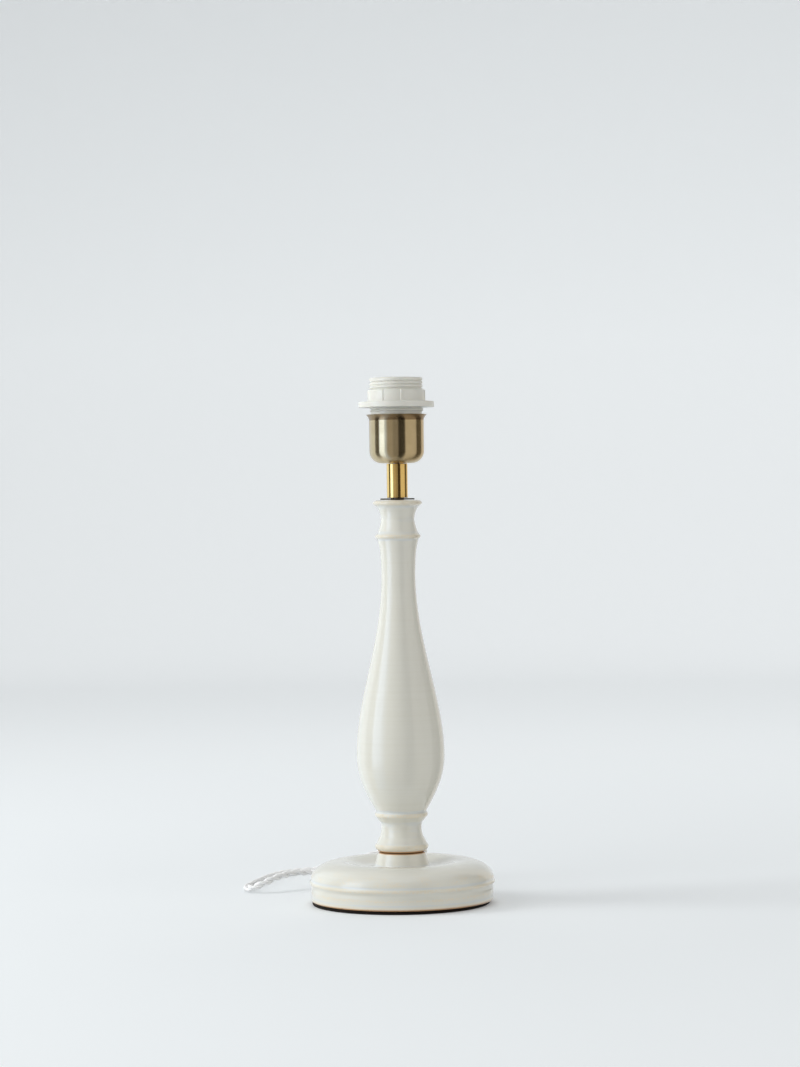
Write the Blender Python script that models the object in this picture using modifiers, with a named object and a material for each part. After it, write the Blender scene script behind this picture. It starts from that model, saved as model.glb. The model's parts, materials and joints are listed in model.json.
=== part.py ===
"""Ceramic table lamp base with a turned baluster stem, a brass neck and cup, a
threaded plastic lampholder with its shade ring, and a twisted textile cord with
an in-line switch and a flat two-pin plug.  Metres, +Z up, the origin under the
middle of the foot, -Y towards the front."""

import math

import bmesh
import bpy
import numpy as np
from mathutils import Matrix, Vector

# Clearances and cuts
SEAT_GAP = 0.0003
RUNNING_GAP = 0.0003
OVERRUN = 0.002
MERGE = 0.00001

# Pad under the foot
PAD_INSET = 0.0015
PAD_THICKNESS = 0.0022

# Foot
BAND_RADIUS = 0.0677
FOOT_EDGE_INSET = 0.0015
FOOT_EDGE_BEVEL = 0.0014
BAND_TOP = 0.0123
GROOVE_DEPTH = 0.0005
GROOVE_HEIGHT = 0.0139
RIB_PROUD = 0.0013
RIB_HEIGHT = 0.0167
RIB_HOLLOW_PROUD = 0.0003
RIB_HOLLOW_HEIGHT = 0.0190
CREST_RADIUS = 0.0465
CREST_HEIGHT = 0.0322
DISH_RADIUS = 0.0245
DISH_HEIGHT = 0.0275
DISH_FULLNESS_SHARE = 1.6
COLLAR_BASE_RADIUS = 0.0202
COLLAR_BASE_HEIGHT = 0.0292
COLLAR_TOP_RADIUS = 0.0174
COLLAR_HEIGHT = 0.0384
COLLAR_BEVEL = 0.0006
RIM_WALL = 0.0097
RECESS_ROOF = 0.0215
RECESS_CORNER = 0.0040
TUBE_HOLE_RADIUS = 0.0056

# Seam between foot and stem
GASKET_RADIUS = 0.0166
GASKET_THICKNESS = 0.0008

# Stem: heights above the floor and radii, from the seam up
STEM_EDGE_RADIUS = 0.0172
STEM_RING_RADIUS = 0.0199
STEM_RING_HEIGHT = 0.0428
STEM_RING_DEPTH = 0.0028
WAIST_RADIUS = 0.0149
WAIST_HEIGHT = 0.0553
BEAD_RADIUS = 0.0198
BEAD_HEIGHT = 0.0665
BEAD_DEPTH = 0.0028
BEAD_NOTCH_RADIUS = 0.0191
BEAD_NOTCH_HEIGHT = 0.0698
BULB_RADIUS = 0.0328
BULB_HEIGHT = 0.1119
NECK_RADIUS = 0.0127
NECK_HEIGHT = 0.2457
STEM_BEAD_EDGE_RADIUS = 0.0152
STEM_BEAD_EDGE_HEIGHT = 0.2700
STEM_BEAD_RADIUS = 0.0171
STEM_BEAD_HEIGHT = 0.2732
THROAT_RADIUS = 0.0125
THROAT_HEIGHT = 0.2858
LIP_RADIUS = 0.0184
LIP_HEIGHT = 0.2976
STEM_TOP_RADIUS = 0.0160
STEM_TOP = 0.3000
STEM_WALL = 0.0050
STEM_SEAT_WALL = 0.0100
# how full the bulb is above and below its widest place
BULB_UPPER_SHARE = 0.92
BULB_LOWER_SHARE = 1.12

# Threaded tube that holds the stack together
TUBE_RADIUS = 0.0050
TUBE_BORE_RADIUS = 0.0037
TUBE_BELOW_NUT = 0.0016
TUBE_IN_CAP = 0.0065

# Nut and washers in the foot
FOOT_WASHER_RADIUS = 0.0150
FOOT_WASHER_THICKNESS = 0.0018
LOCK_WASHER_RADIUS = 0.0080
LOCK_WASHER_THICKNESS = 0.0009
LOCK_TEETH = 10
LOCK_TOOTH_DEPTH = 0.0013
FOOT_NUT_ACROSS_FLATS = 0.0140
FOOT_NUT_HEIGHT = 0.0040
NUT_CHAMFER = 0.0008

# Brass neck and cup
TOP_WASHER_RADIUS = 0.0127
TOP_WASHER_THICKNESS = 0.0010
NECK_TUBE_RADIUS = 0.0078
NECK_TUBE_WALL = 0.0010
NECK_TUBE_LENGTH = 0.0255
CUP_RADIUS = 0.0204
CUP_WALL = 0.0009
CUP_HEIGHT = 0.0362
CUP_CORNER = 0.0090
CUP_RIM_RADIUS = 0.0228
CUP_FLARE_HEIGHT = 0.0046
CUP_NUT_ACROSS_FLATS = 0.0140
CUP_NUT_HEIGHT = 0.0025

# Lampholder
CAP_RADIUS = 0.0188
CAP_WALL = 0.0018
CAP_BOSS_RADIUS = 0.0080
CAP_BOSS_HEIGHT = 0.0090
CAP_DOME_HEIGHT = 0.0090
CAP_HEIGHT = 0.0190
SPIGOT_WALL = 0.0015
SPIGOT_HEIGHT = 0.0060
BARREL_NECK_RADIUS = 0.0190
THREAD_RADIUS = 0.0199
THREAD_RISE = 0.0165
BARREL_LENGTH = 0.0403
BARREL_MOUTH_RADIUS = 0.0147
BARREL_MOUTH_DEPTH = 0.0030
BARREL_BEVEL = 0.0006
SHELL_RADIUS = 0.0142
SHELL_WALL = 0.0005
SHELL_HEIGHT = 0.0225
BLOCK_HEIGHT = 0.0100
BLOCK_GUIDE_HEIGHT = 0.0030
BLOCK_GUIDE_RADIUS = 0.0060
CONTACT_WIDTH = 0.0050
CONTACT_THICKNESS = 0.0005
CONTACT_RISE = 0.0026
CONTACT_FOOT = 0.0035
CONTACT_TIP_HALF = 0.0022
TERMINAL_OFFSET = 0.0100
TERMINAL_RADIUS = 0.0032
TERMINAL_HEIGHT = 0.0026
TERMINAL_SLOT = 0.0008

# Shade ring
RING_FLANGE_RADIUS = 0.0282
RING_BELOW_MOUTH = 0.0221
RING_FLANGE_THICKNESS = 0.0043
RING_SKIRT_RADIUS = 0.0217
RING_HEIGHT = 0.0129
RING_PADS = 5
RING_PAD_STEP = 0.0005
RING_PAD_TURN = math.radians(-9.0)
RING_BEVEL = 0.0007

# Cord: a twisted pair, drawn as its overall round
CORD_RADIUS = 0.0027
STRAND_RADIUS = 0.00135
CORD_POINT_STEP = 0.0108
CORD_STRAIGHT_END = 0.0054
EXIT_TURN = math.radians(120.0)
EXIT_HEIGHT = 0.0094
BUSH_HOLE_RADIUS = 0.0040
BUSH_SLEEVE_RADIUS = 0.0037
BUSH_BORE_RADIUS = 0.0030
BUSH_FLANGE_RADIUS = 0.0049
BUSH_FLANGE_THICKNESS = 0.0018
BUSH_TAPER_BASE = 0.0044
BUSH_TIP_RADIUS = 0.0036
BUSH_LENGTH = 0.0205
BUSH_NUT_ACROSS_FLATS = 0.0095
BUSH_NUT_HEIGHT = 0.0035

# Coil of the put-away cord
COIL_RIGHT = 0.0020
COIL_BEHIND = 0.0723
COIL_TURNS = 6
COIL_MEAN_RADIUS = 0.03050
COIL_PITCH = 0.0060
COIL_LIFT = 0.0012
COIL_LOOP_POINTS = 24
COIL_START_TURN = math.radians(180.0)
TIE_TURN = math.radians(-20.0)
TIE_THICKNESS = 0.0006
TIE_WIDTH = 0.0060
TIE_GAP = 0.0004

# In-line switch
SWITCH_RIGHT = 0.0060
SWITCH_BEHIND = 0.0173
SWITCH_LENGTH = 0.0580
SWITCH_WIDTH = 0.0210
SWITCH_LOWER_HEIGHT = 0.0060
SWITCH_UPPER_HEIGHT = 0.0096
SWITCH_END_WIDTH = 0.0120
SWITCH_WALL = 0.0018
SWITCH_BEVEL = 0.0016
ROCKER_LENGTH = 0.0180
ROCKER_WIDTH = 0.0100
ROCKER_DEPTH = 0.0050
ROCKER_PROUD = 0.0016
ROCKER_DIP = 0.0009
ROCKER_SWING = math.radians(6.0)
ROCKER_PIN_RADIUS = 0.0010
SWITCH_CONTACT_LENGTH = 0.0100
SWITCH_CONTACT_WIDTH = 0.0050
SWITCH_CONTACT_HEIGHT = 0.0040
SWITCH_CONTACT_OFFSET = 0.0190

# Flat two-pin plug
PLUG_BEHIND = 0.0693
PLUG_LENGTH = 0.0340
PLUG_WIDTH = 0.0353
PLUG_THICKNESS = 0.0137
PLUG_BACK_WIDTH = 0.0200
PLUG_TAIL_LENGTH = 0.0110
PLUG_TAIL_BASE = 0.0050
PLUG_TAIL_TIP = 0.0036
PLUG_BEVEL = 0.0018
PIN_RADIUS = 0.0020
PIN_LENGTH = 0.0190
PIN_SPACING = 0.0180
PIN_SEAT = 0.0060

# Counts of facets
TURN_STEPS = 32
FOOT_STEPS = 40
SMALL_STEPS = 20
ARC_STEPS = 4
BULB_STEPS = 9

# Sizes of small features, by the piece that carries them
CAP_BASE_STEP = 0.0020
CONTACT_ROOT = -0.0095
CONTACT_CLEARANCE = 0.0006
CONTACT_POCKET_DEPTH = 0.0022
LEAD_START_RISE = 0.0012
RING_STEPS = 50
GAP_PHASE_SHARE = 0.5
ROCKER_PIVOT_DEPTH = 0.0022
ROCKER_CLEARANCE = 0.0006
ROCKER_FOOT_SHARE = 0.6
SWITCH_WAIST_SHARE = 4
PLUG_SQUARE_SHARE = 0.55
PIN_TIP_SHARE = 0.5

# The cord's free route, chosen by hand: from the foot's back out to the left in a low
# arch, down to the floor, back behind the foot and round the coil to the switch.
# The second number of a point is its way behind the back of the foot's band
FLOOR_LAY = 0.0028
LAMP_ROUTE = [
    (-0.0530, 0.0228, 0.0099),
    (-0.0615, 0.0281, 0.0109),
    (-0.0715, 0.0275, 0.0120),
    (-0.0805, 0.0223, 0.0126),
    (-0.0885, 0.0148, 0.0124),
    (-0.0960, 0.0068, 0.0112),
    (-0.1030, 0.0003, 0.0089),
    (-0.1100, -0.0029, 0.0062),
    (-0.1160, -0.0002, 0.0041),
    (-0.1196, 0.0068, 0.0031),
    (-0.1195, 0.0163, FLOOR_LAY),
    (-0.1170, 0.0293, FLOOR_LAY),
    (-0.1135, 0.0443, FLOOR_LAY),
    (-0.1095, 0.0603, FLOOR_LAY),
    (-0.1050, 0.0763, FLOOR_LAY),
    (-0.0990, 0.0913, FLOOR_LAY),
    (-0.0900, 0.1043, FLOOR_LAY),
    (-0.0780, 0.1138, FLOOR_LAY),
    (-0.0630, 0.1198, FLOOR_LAY),
    (-0.0460, 0.1233, FLOOR_LAY),
    (-0.0270, 0.1253, FLOOR_LAY),
    (-0.0080, 0.1258, FLOOR_LAY),
    (0.0110, 0.1238, FLOOR_LAY),
    (0.0280, 0.1178, FLOOR_LAY),
    (0.0410, 0.1073, FLOOR_LAY),
    (0.0490, 0.0933, FLOOR_LAY),
    (0.0530, 0.0773, FLOOR_LAY),
    (0.0545, 0.0603, FLOOR_LAY),
    (0.0545, 0.0443, 0.0032),
    (0.0525, 0.0308, 0.0044),
    (0.0475, 0.0213, 0.0058),
]
COIL_ROUTE = [
    (-0.0350, 0.0201, 0.0054),
    (-0.0400, 0.0263, 0.0047),
    (-0.0418, 0.0343, 0.0042),
    (-0.0404, 0.0443, 0.0040),
    (-0.0383, 0.0543, 0.0039),
]
PLUG_ROUTE = [
    (-0.0372, 0.0893, 0.0105),
    (-0.0340, 0.1013, 0.0122),
    (-0.0262, 0.1113, 0.0145),
    (-0.0150, 0.1161, 0.0172),
    (-0.0050, 0.1135, 0.0192),
]

# Radii, places and heights that follow from the sizes above
PAD_RADIUS = BAND_RADIUS - PAD_INSET
FOOT_EDGE_RADIUS = BAND_RADIUS - FOOT_EDGE_INSET
GROOVE_RADIUS = BAND_RADIUS - GROOVE_DEPTH
RIB_RADIUS = BAND_RADIUS + RIB_PROUD
RIB_HOLLOW_RADIUS = BAND_RADIUS + RIB_HOLLOW_PROUD
RIM_INSIDE_RADIUS = BAND_RADIUS - RIM_WALL
COIL_CENTRE = (COIL_RIGHT, BAND_RADIUS + COIL_BEHIND)
SWITCH_CENTRE = (SWITCH_RIGHT, BAND_RADIUS + SWITCH_BEHIND)
PLUG_CENTRE_Y = BAND_RADIUS + PLUG_BEHIND
SWITCH_BOTTOM = SEAT_GAP
SWITCH_MIDDLE = SWITCH_BOTTOM + SWITCH_LOWER_HEIGHT
SWITCH_UPPER_BOTTOM = SWITCH_MIDDLE + SEAT_GAP
SWITCH_TOP = SWITCH_UPPER_BOTTOM + SWITCH_UPPER_HEIGHT
ROCKER_PIVOT = SWITCH_TOP - ROCKER_PIVOT_DEPTH
FOOT_BOTTOM = PAD_THICKNESS + SEAT_GAP
GASKET_BOTTOM = COLLAR_HEIGHT + SEAT_GAP
STEM_BOTTOM = GASKET_BOTTOM + GASKET_THICKNESS + SEAT_GAP
FOOT_WASHER_TOP = RECESS_ROOF - SEAT_GAP
LOCK_WASHER_TOP = FOOT_WASHER_TOP - FOOT_WASHER_THICKNESS - SEAT_GAP
FOOT_NUT_TOP = LOCK_WASHER_TOP - LOCK_WASHER_THICKNESS - SEAT_GAP
TUBE_BOTTOM = FOOT_NUT_TOP - FOOT_NUT_HEIGHT - TUBE_BELOW_NUT
TOP_WASHER_BOTTOM = STEM_TOP + SEAT_GAP
NECK_TUBE_BOTTOM = TOP_WASHER_BOTTOM + TOP_WASHER_THICKNESS + SEAT_GAP
CUP_BOTTOM = NECK_TUBE_BOTTOM + NECK_TUBE_LENGTH + SEAT_GAP
CUP_NUT_BOTTOM = CUP_BOTTOM + CUP_WALL + SEAT_GAP
CAP_BOTTOM = CUP_NUT_BOTTOM + CUP_NUT_HEIGHT + SEAT_GAP
TUBE_TOP = CAP_BOTTOM + TUBE_IN_CAP
CAP_TOP = CAP_BOTTOM + CAP_HEIGHT
SPIGOT_RADIUS = CAP_RADIUS - CAP_WALL - SEAT_GAP
SPIGOT_BOTTOM = CAP_TOP - SPIGOT_HEIGHT
BARREL_BOTTOM = CAP_TOP + SEAT_GAP
THREAD_START = BARREL_BOTTOM + THREAD_RISE
BARREL_TOP = BARREL_BOTTOM + BARREL_LENGTH
RING_BOTTOM = BARREL_TOP - RING_BELOW_MOUTH
BLOCK_RADIUS = SPIGOT_RADIUS - SPIGOT_WALL - SEAT_GAP
BLOCK_BOTTOM = BARREL_BOTTOM + BLOCK_GUIDE_HEIGHT
BLOCK_TOP = BLOCK_BOTTOM + BLOCK_HEIGHT
SHELL_BOTTOM = BLOCK_TOP + SEAT_GAP

# Materials: colour, roughness, metallic
FINISHES = {
    "glaze": ((0.72, 0.70, 0.64), 0.18, 0.0),
    "pad": ((0.045, 0.035, 0.030), 0.90, 0.0),
    "gasket": ((0.23, 0.12, 0.06), 0.80, 0.0),
    "black_rubber": ((0.03, 0.03, 0.03), 0.70, 0.0),
    "bright_brass": ((0.72, 0.52, 0.22), 0.22, 1.0),
    "antique_brass": ((0.42, 0.33, 0.19), 0.34, 1.0),
    "steel": ((0.55, 0.55, 0.54), 0.35, 1.0),
    "nickel": ((0.66, 0.64, 0.60), 0.25, 1.0),
    "white_plastic": ((0.76, 0.76, 0.72), 0.35, 0.0),
    "contact_block": ((0.60, 0.58, 0.52), 0.60, 0.0),
    "textile": ((0.85, 0.84, 0.81), 0.85, 0.0),
}


def start_clean():
    for old in list(bpy.data.objects):
        bpy.data.objects.remove(old, do_unlink=True)
    groups = []
    for name in ("lamp_base", "cutters"):
        group = bpy.data.collections.new(name)
        bpy.context.scene.collection.children.link(group)
        groups.append(group)
    return groups


PARTS, CUTTERS = start_clean()


def finish(name):
    """The Principled material of that name, made once."""
    material = bpy.data.materials.get(name)
    if material:
        return material
    colour, roughness, metallic = FINISHES[name]
    material = bpy.data.materials.new(name)
    material.use_nodes = True
    shader = material.node_tree.nodes["Principled BSDF"]
    shader.inputs["Base Color"].default_value = (*colour, 1.0)
    shader.inputs["Roughness"].default_value = roughness
    shader.inputs["Metallic"].default_value = metallic
    return material


def add(name, mesh, material, group=None):
    obj = bpy.data.objects.new(name, mesh)
    (group or PARTS).objects.link(obj)
    if material:
        mesh.materials.append(finish(material))
    return obj


def hide_cutter(obj):
    obj.hide_render = True
    obj.display_type = "WIRE"
    return obj


def boolean(obj, other, operation="DIFFERENCE"):
    cut = obj.modifiers.new(operation.lower(), "BOOLEAN")
    cut.operation = operation
    cut.object = other
    cut.solver = "EXACT"
    return obj


def along(place, direction):
    """The transform that turns local +Z to the direction and moves to the place."""
    turn = Vector(direction).to_track_quat("Z", "Y").to_matrix().to_4x4()
    return Matrix.Translation(Vector(place)) @ turn


def arc(middle, radii, start, end, steps=ARC_STEPS):
    """Points on an elliptic arc, angles in degrees from +radius towards +height."""
    turns = [math.radians(start + (end - start) * i / steps) for i in range(steps + 1)]
    return [
        (middle[0] + radii[0] * math.cos(t), middle[1] + radii[1] * math.sin(t)) for t in turns
    ]


def smooth(knots, steps):
    """A centripetal spline through the knots, with steps points a stretch."""
    points = [Vector(k) for k in knots]
    points = [2 * points[0] - points[1], *points, 2 * points[-1] - points[-2]]
    out = []
    for p0, p1, p2, p3 in zip(points, points[1:], points[2:], points[3:]):
        t0 = 0.0
        t1 = t0 + math.sqrt((p1 - p0).length)
        t2 = t1 + math.sqrt((p2 - p1).length)
        t3 = t2 + math.sqrt((p3 - p2).length)
        for i in range(steps):
            t = t1 + (t2 - t1) * i / steps
            a1 = ((t1 - t) * p0 + (t - t0) * p1) / (t1 - t0)
            a2 = ((t2 - t) * p1 + (t - t1) * p2) / (t2 - t1)
            a3 = ((t3 - t) * p2 + (t - t2) * p3) / (t3 - t2)
            b1 = ((t2 - t) * a1 + (t - t0) * a2) / (t2 - t0)
            b2 = ((t3 - t) * a2 + (t - t1) * a3) / (t3 - t1)
            out.append(tuple(((t2 - t) * b1 + (t - t1) * b2) / (t2 - t1)))
    return out + [tuple(points[-2])]


def turned(name, outline, material, steps=TURN_STEPS, group=None):
    """A solid of revolution.  The outline is (radius, height) pairs, down the outer
    side and back up the inner side, or from the axis to the axis."""
    on_axis = outline[0][0] == 0
    mesh = bpy.data.meshes.new(name)
    points = [(r, 0, z) for r, z in outline]
    edges = [(i, i + 1) for i in range(len(points) - 1)]
    if not on_axis:
        edges.append((len(points) - 1, 0))
    mesh.from_pydata(points, edges, [])
    obj = add(name, mesh, material, group)
    screw = obj.modifiers.new("turn", "SCREW")
    screw.steps = screw.render_steps = steps
    screw.use_merge_vertices = True
    screw.merge_threshold = MERGE
    screw.use_smooth_shade = True
    return obj


def ring_outline(outer, inner, bottom, top, bevel=0.0):
    """A plain or bevelled washer section."""
    if not bevel:
        return [(outer, top), (outer, bottom), (inner, bottom), (inner, top)]
    return [
        (outer - bevel, top),
        (outer, top - bevel),
        (outer, bottom + bevel),
        (outer - bevel, bottom),
        (inner, bottom),
        (inner, top),
    ]


def cylinder(name, radius, bottom, top, material=None, group=None, steps=SMALL_STEPS):
    """An upright cylinder from the bottom height to the top height, on the Z axis."""
    work = bmesh.new()
    bmesh.ops.create_cone(
        work, cap_ends=True, segments=steps, radius1=radius, radius2=radius, depth=top - bottom
    )
    bmesh.ops.translate(work, verts=work.verts, vec=(0, 0, (top + bottom) / 2))
    mesh = bpy.data.meshes.new(name)
    work.to_mesh(mesh)
    work.free()
    return add(name, mesh, material, group)


def cutter(name, radius, bottom, top, matrix=None, steps=SMALL_STEPS):
    obj = hide_cutter(cylinder(name, radius, bottom, top, None, CUTTERS, steps))
    if matrix:
        obj.matrix_world = matrix
    return obj


def box(name, low, high, material=None, group=None, bevel=0.0):
    """A box between two corners, with its upright edges rounded if bevel is given."""
    work = bmesh.new()
    bmesh.ops.create_cube(work, size=1)
    size = [h - l for l, h in zip(low, high)]
    middle = [(h + l) / 2 for l, h in zip(low, high)]
    bmesh.ops.scale(work, verts=work.verts, vec=size)
    bmesh.ops.translate(work, verts=work.verts, vec=middle)
    mesh = bpy.data.meshes.new(name)
    work.to_mesh(mesh)
    work.free()
    obj = add(name, mesh, material, group)
    if bevel:
        edge = obj.modifiers.new("edges", "BEVEL")
        edge.width = bevel
        edge.segments = 2
        edge.limit_method = "ANGLE"
    return obj


def hex_nut(name, across_flats, height, bore, top, material):
    """A chamfered hex nut with a plain bore, its top face at the height given."""
    corner = across_flats / math.sqrt(3)
    nut = cylinder(name, corner, top - height, top, material, None, 6)
    shape = [
        (0, top),
        (corner - NUT_CHAMFER, top),
        (corner + OVERRUN, top - (NUT_CHAMFER + OVERRUN) / 2),
        (corner + OVERRUN, top - height - OVERRUN),
        (0, top - height - OVERRUN),
    ]
    chamfer = turned(name + "_chamfer", shape, None, SMALL_STEPS, CUTTERS)
    boolean(nut, hide_cutter(chamfer), "INTERSECT")
    return boolean(nut, cutter(name + "_bore", bore, top - height - OVERRUN, top + OVERRUN))


def tube(name, points, radius, material, sides=2):
    """A wire or cord along the points, as a straight-segment curve with filled caps."""
    curve = bpy.data.curves.new(name, "CURVE")
    curve.dimensions = "3D"
    curve.bevel_depth = radius
    curve.bevel_resolution = sides
    curve.use_fill_caps = True
    line = curve.splines.new("POLY")
    line.points.add(len(points) - 1)
    for target, point in zip(line.points, points):
        target.co = (*point, 1.0)
    obj = bpy.data.objects.new(name, curve)
    PARTS.objects.link(obj)
    curve.materials.append(finish(material))
    return obj


def soften(obj, degrees=35.0):
    """Smooth shading with sharp creases, for the round pieces."""
    obj.data.shade_smooth()
    obj.data.set_sharp_from_angle(angle=math.radians(degrees))
    return obj


# Foot, pad and the seam


def make_pad():
    outline = [
        (0, PAD_THICKNESS),
        (PAD_RADIUS, PAD_THICKNESS),
        (PAD_RADIUS, 0),
        (0, 0),
    ]
    return turned("foot_pad", outline, "pad", FOOT_STEPS)


def rise_share(t):
    return math.sin(math.pi / 2 * t) ** DISH_FULLNESS_SHARE


def foot_outline():
    """From the collar's top edge over the dish and the shoulder, down to the foot
    edge, then up the recess to the tube hole."""
    collar = [
        (COLLAR_TOP_RADIUS - COLLAR_BEVEL, COLLAR_HEIGHT),
        (COLLAR_TOP_RADIUS, COLLAR_HEIGHT - COLLAR_BEVEL),
        (COLLAR_BASE_RADIUS, COLLAR_BASE_HEIGHT),
    ]
    crest_rise = CREST_HEIGHT - DISH_HEIGHT
    crest_width = CREST_RADIUS - DISH_RADIUS
    dish = [
        (DISH_RADIUS + crest_width * t, DISH_HEIGHT + crest_rise * rise_share(t))
        for t in [i / ARC_STEPS for i in range(ARC_STEPS + 1)]
    ]
    shoulder = arc(
        (CREST_RADIUS, RIB_HOLLOW_HEIGHT),
        (RIB_HOLLOW_RADIUS - CREST_RADIUS, CREST_HEIGHT - RIB_HOLLOW_HEIGHT),
        90,
        0,
        2 * ARC_STEPS,
    )[1:]
    rib = [
        (RIB_RADIUS, RIB_HEIGHT),
        (RIB_RADIUS, (RIB_HEIGHT + GROOVE_HEIGHT) / 2),
        (GROOVE_RADIUS, GROOVE_HEIGHT),
        (BAND_RADIUS, BAND_TOP),
        (BAND_RADIUS, FOOT_BOTTOM + FOOT_EDGE_BEVEL),
        (FOOT_EDGE_RADIUS, FOOT_BOTTOM),
    ]
    recess = [(RIM_INSIDE_RADIUS, FOOT_BOTTOM)]
    recess += arc(
        (RIM_INSIDE_RADIUS - RECESS_CORNER, RECESS_ROOF - RECESS_CORNER),
        (RECESS_CORNER, RECESS_CORNER),
        0,
        90,
        2,
    )
    hole = [(TUBE_HOLE_RADIUS, RECESS_ROOF), (TUBE_HOLE_RADIUS, COLLAR_HEIGHT)]
    return collar + dish + shoulder + rib + recess + hole


def exit_matrix():
    """Local +Z points outwards along the cord's way out, from the foot's middle."""
    outwards = (math.cos(EXIT_TURN), math.sin(EXIT_TURN), 0)
    return along((0, 0, EXIT_HEIGHT), outwards)


def make_foot():
    foot = turned("foot", foot_outline(), "glaze", FOOT_STEPS)
    hole = cutter(
        "cord_hole",
        BUSH_HOLE_RADIUS,
        RIM_INSIDE_RADIUS - OVERRUN,
        BAND_RADIUS + OVERRUN,
        exit_matrix(),
    )
    return boolean(foot, hole)


def make_bush():
    """The cord's strain relief: sleeve through the wall, flange and taper outside."""
    wall = BAND_RADIUS + SEAT_GAP
    flange = wall + BUSH_FLANGE_THICKNESS
    tip = wall + BUSH_LENGTH
    inner_end = RIM_INSIDE_RADIUS - BUSH_NUT_HEIGHT - OVERRUN
    outline = [
        (BUSH_TIP_RADIUS, tip),
        (BUSH_TAPER_BASE, flange),
        (BUSH_FLANGE_RADIUS, flange),
        (BUSH_FLANGE_RADIUS, wall),
        (BUSH_SLEEVE_RADIUS, wall),
        (BUSH_SLEEVE_RADIUS, inner_end),
        (BUSH_BORE_RADIUS, inner_end),
        (BUSH_BORE_RADIUS, tip),
    ]
    bush = turned("cord_bush", outline, "white_plastic", SMALL_STEPS)
    bush.matrix_world = exit_matrix()
    top = math.sqrt(RIM_INSIDE_RADIUS**2 - BUSH_NUT_ACROSS_FLATS**2 / 3) - SEAT_GAP
    bore = BUSH_SLEEVE_RADIUS + RUNNING_GAP
    corner = BUSH_NUT_ACROSS_FLATS / math.sqrt(3)
    nut = cylinder("bush_nut", corner, top - BUSH_NUT_HEIGHT, top, "white_plastic", None, 6)
    nut.matrix_world = exit_matrix()
    hole = cutter("bush_nut_bore", bore, top - BUSH_NUT_HEIGHT - OVERRUN, top + OVERRUN)
    hole.matrix_world = exit_matrix()
    boolean(nut, hole)
    return tip


def make_gasket():
    top = GASKET_BOTTOM + GASKET_THICKNESS
    outline = ring_outline(GASKET_RADIUS, TUBE_RADIUS + RUNNING_GAP, GASKET_BOTTOM, top)
    return turned("seam_gasket", outline, "gasket")


# Stem


def swell(low, high, power, upwards):
    """Radii between a wide place and a narrow one, on a bell-shaped curve."""
    points = []
    for i in range(1, BULB_STEPS):
        t = i / BULB_STEPS
        if upwards:
            share = (1 + math.cos(math.pi * t**power)) / 2
        else:
            share = math.cos(math.pi / 2 * t**power)
        radius = low[0] + (high[0] - low[0]) * (1 - share)
        points.append((radius, low[1] + (high[1] - low[1]) * t))
    return points


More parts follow.
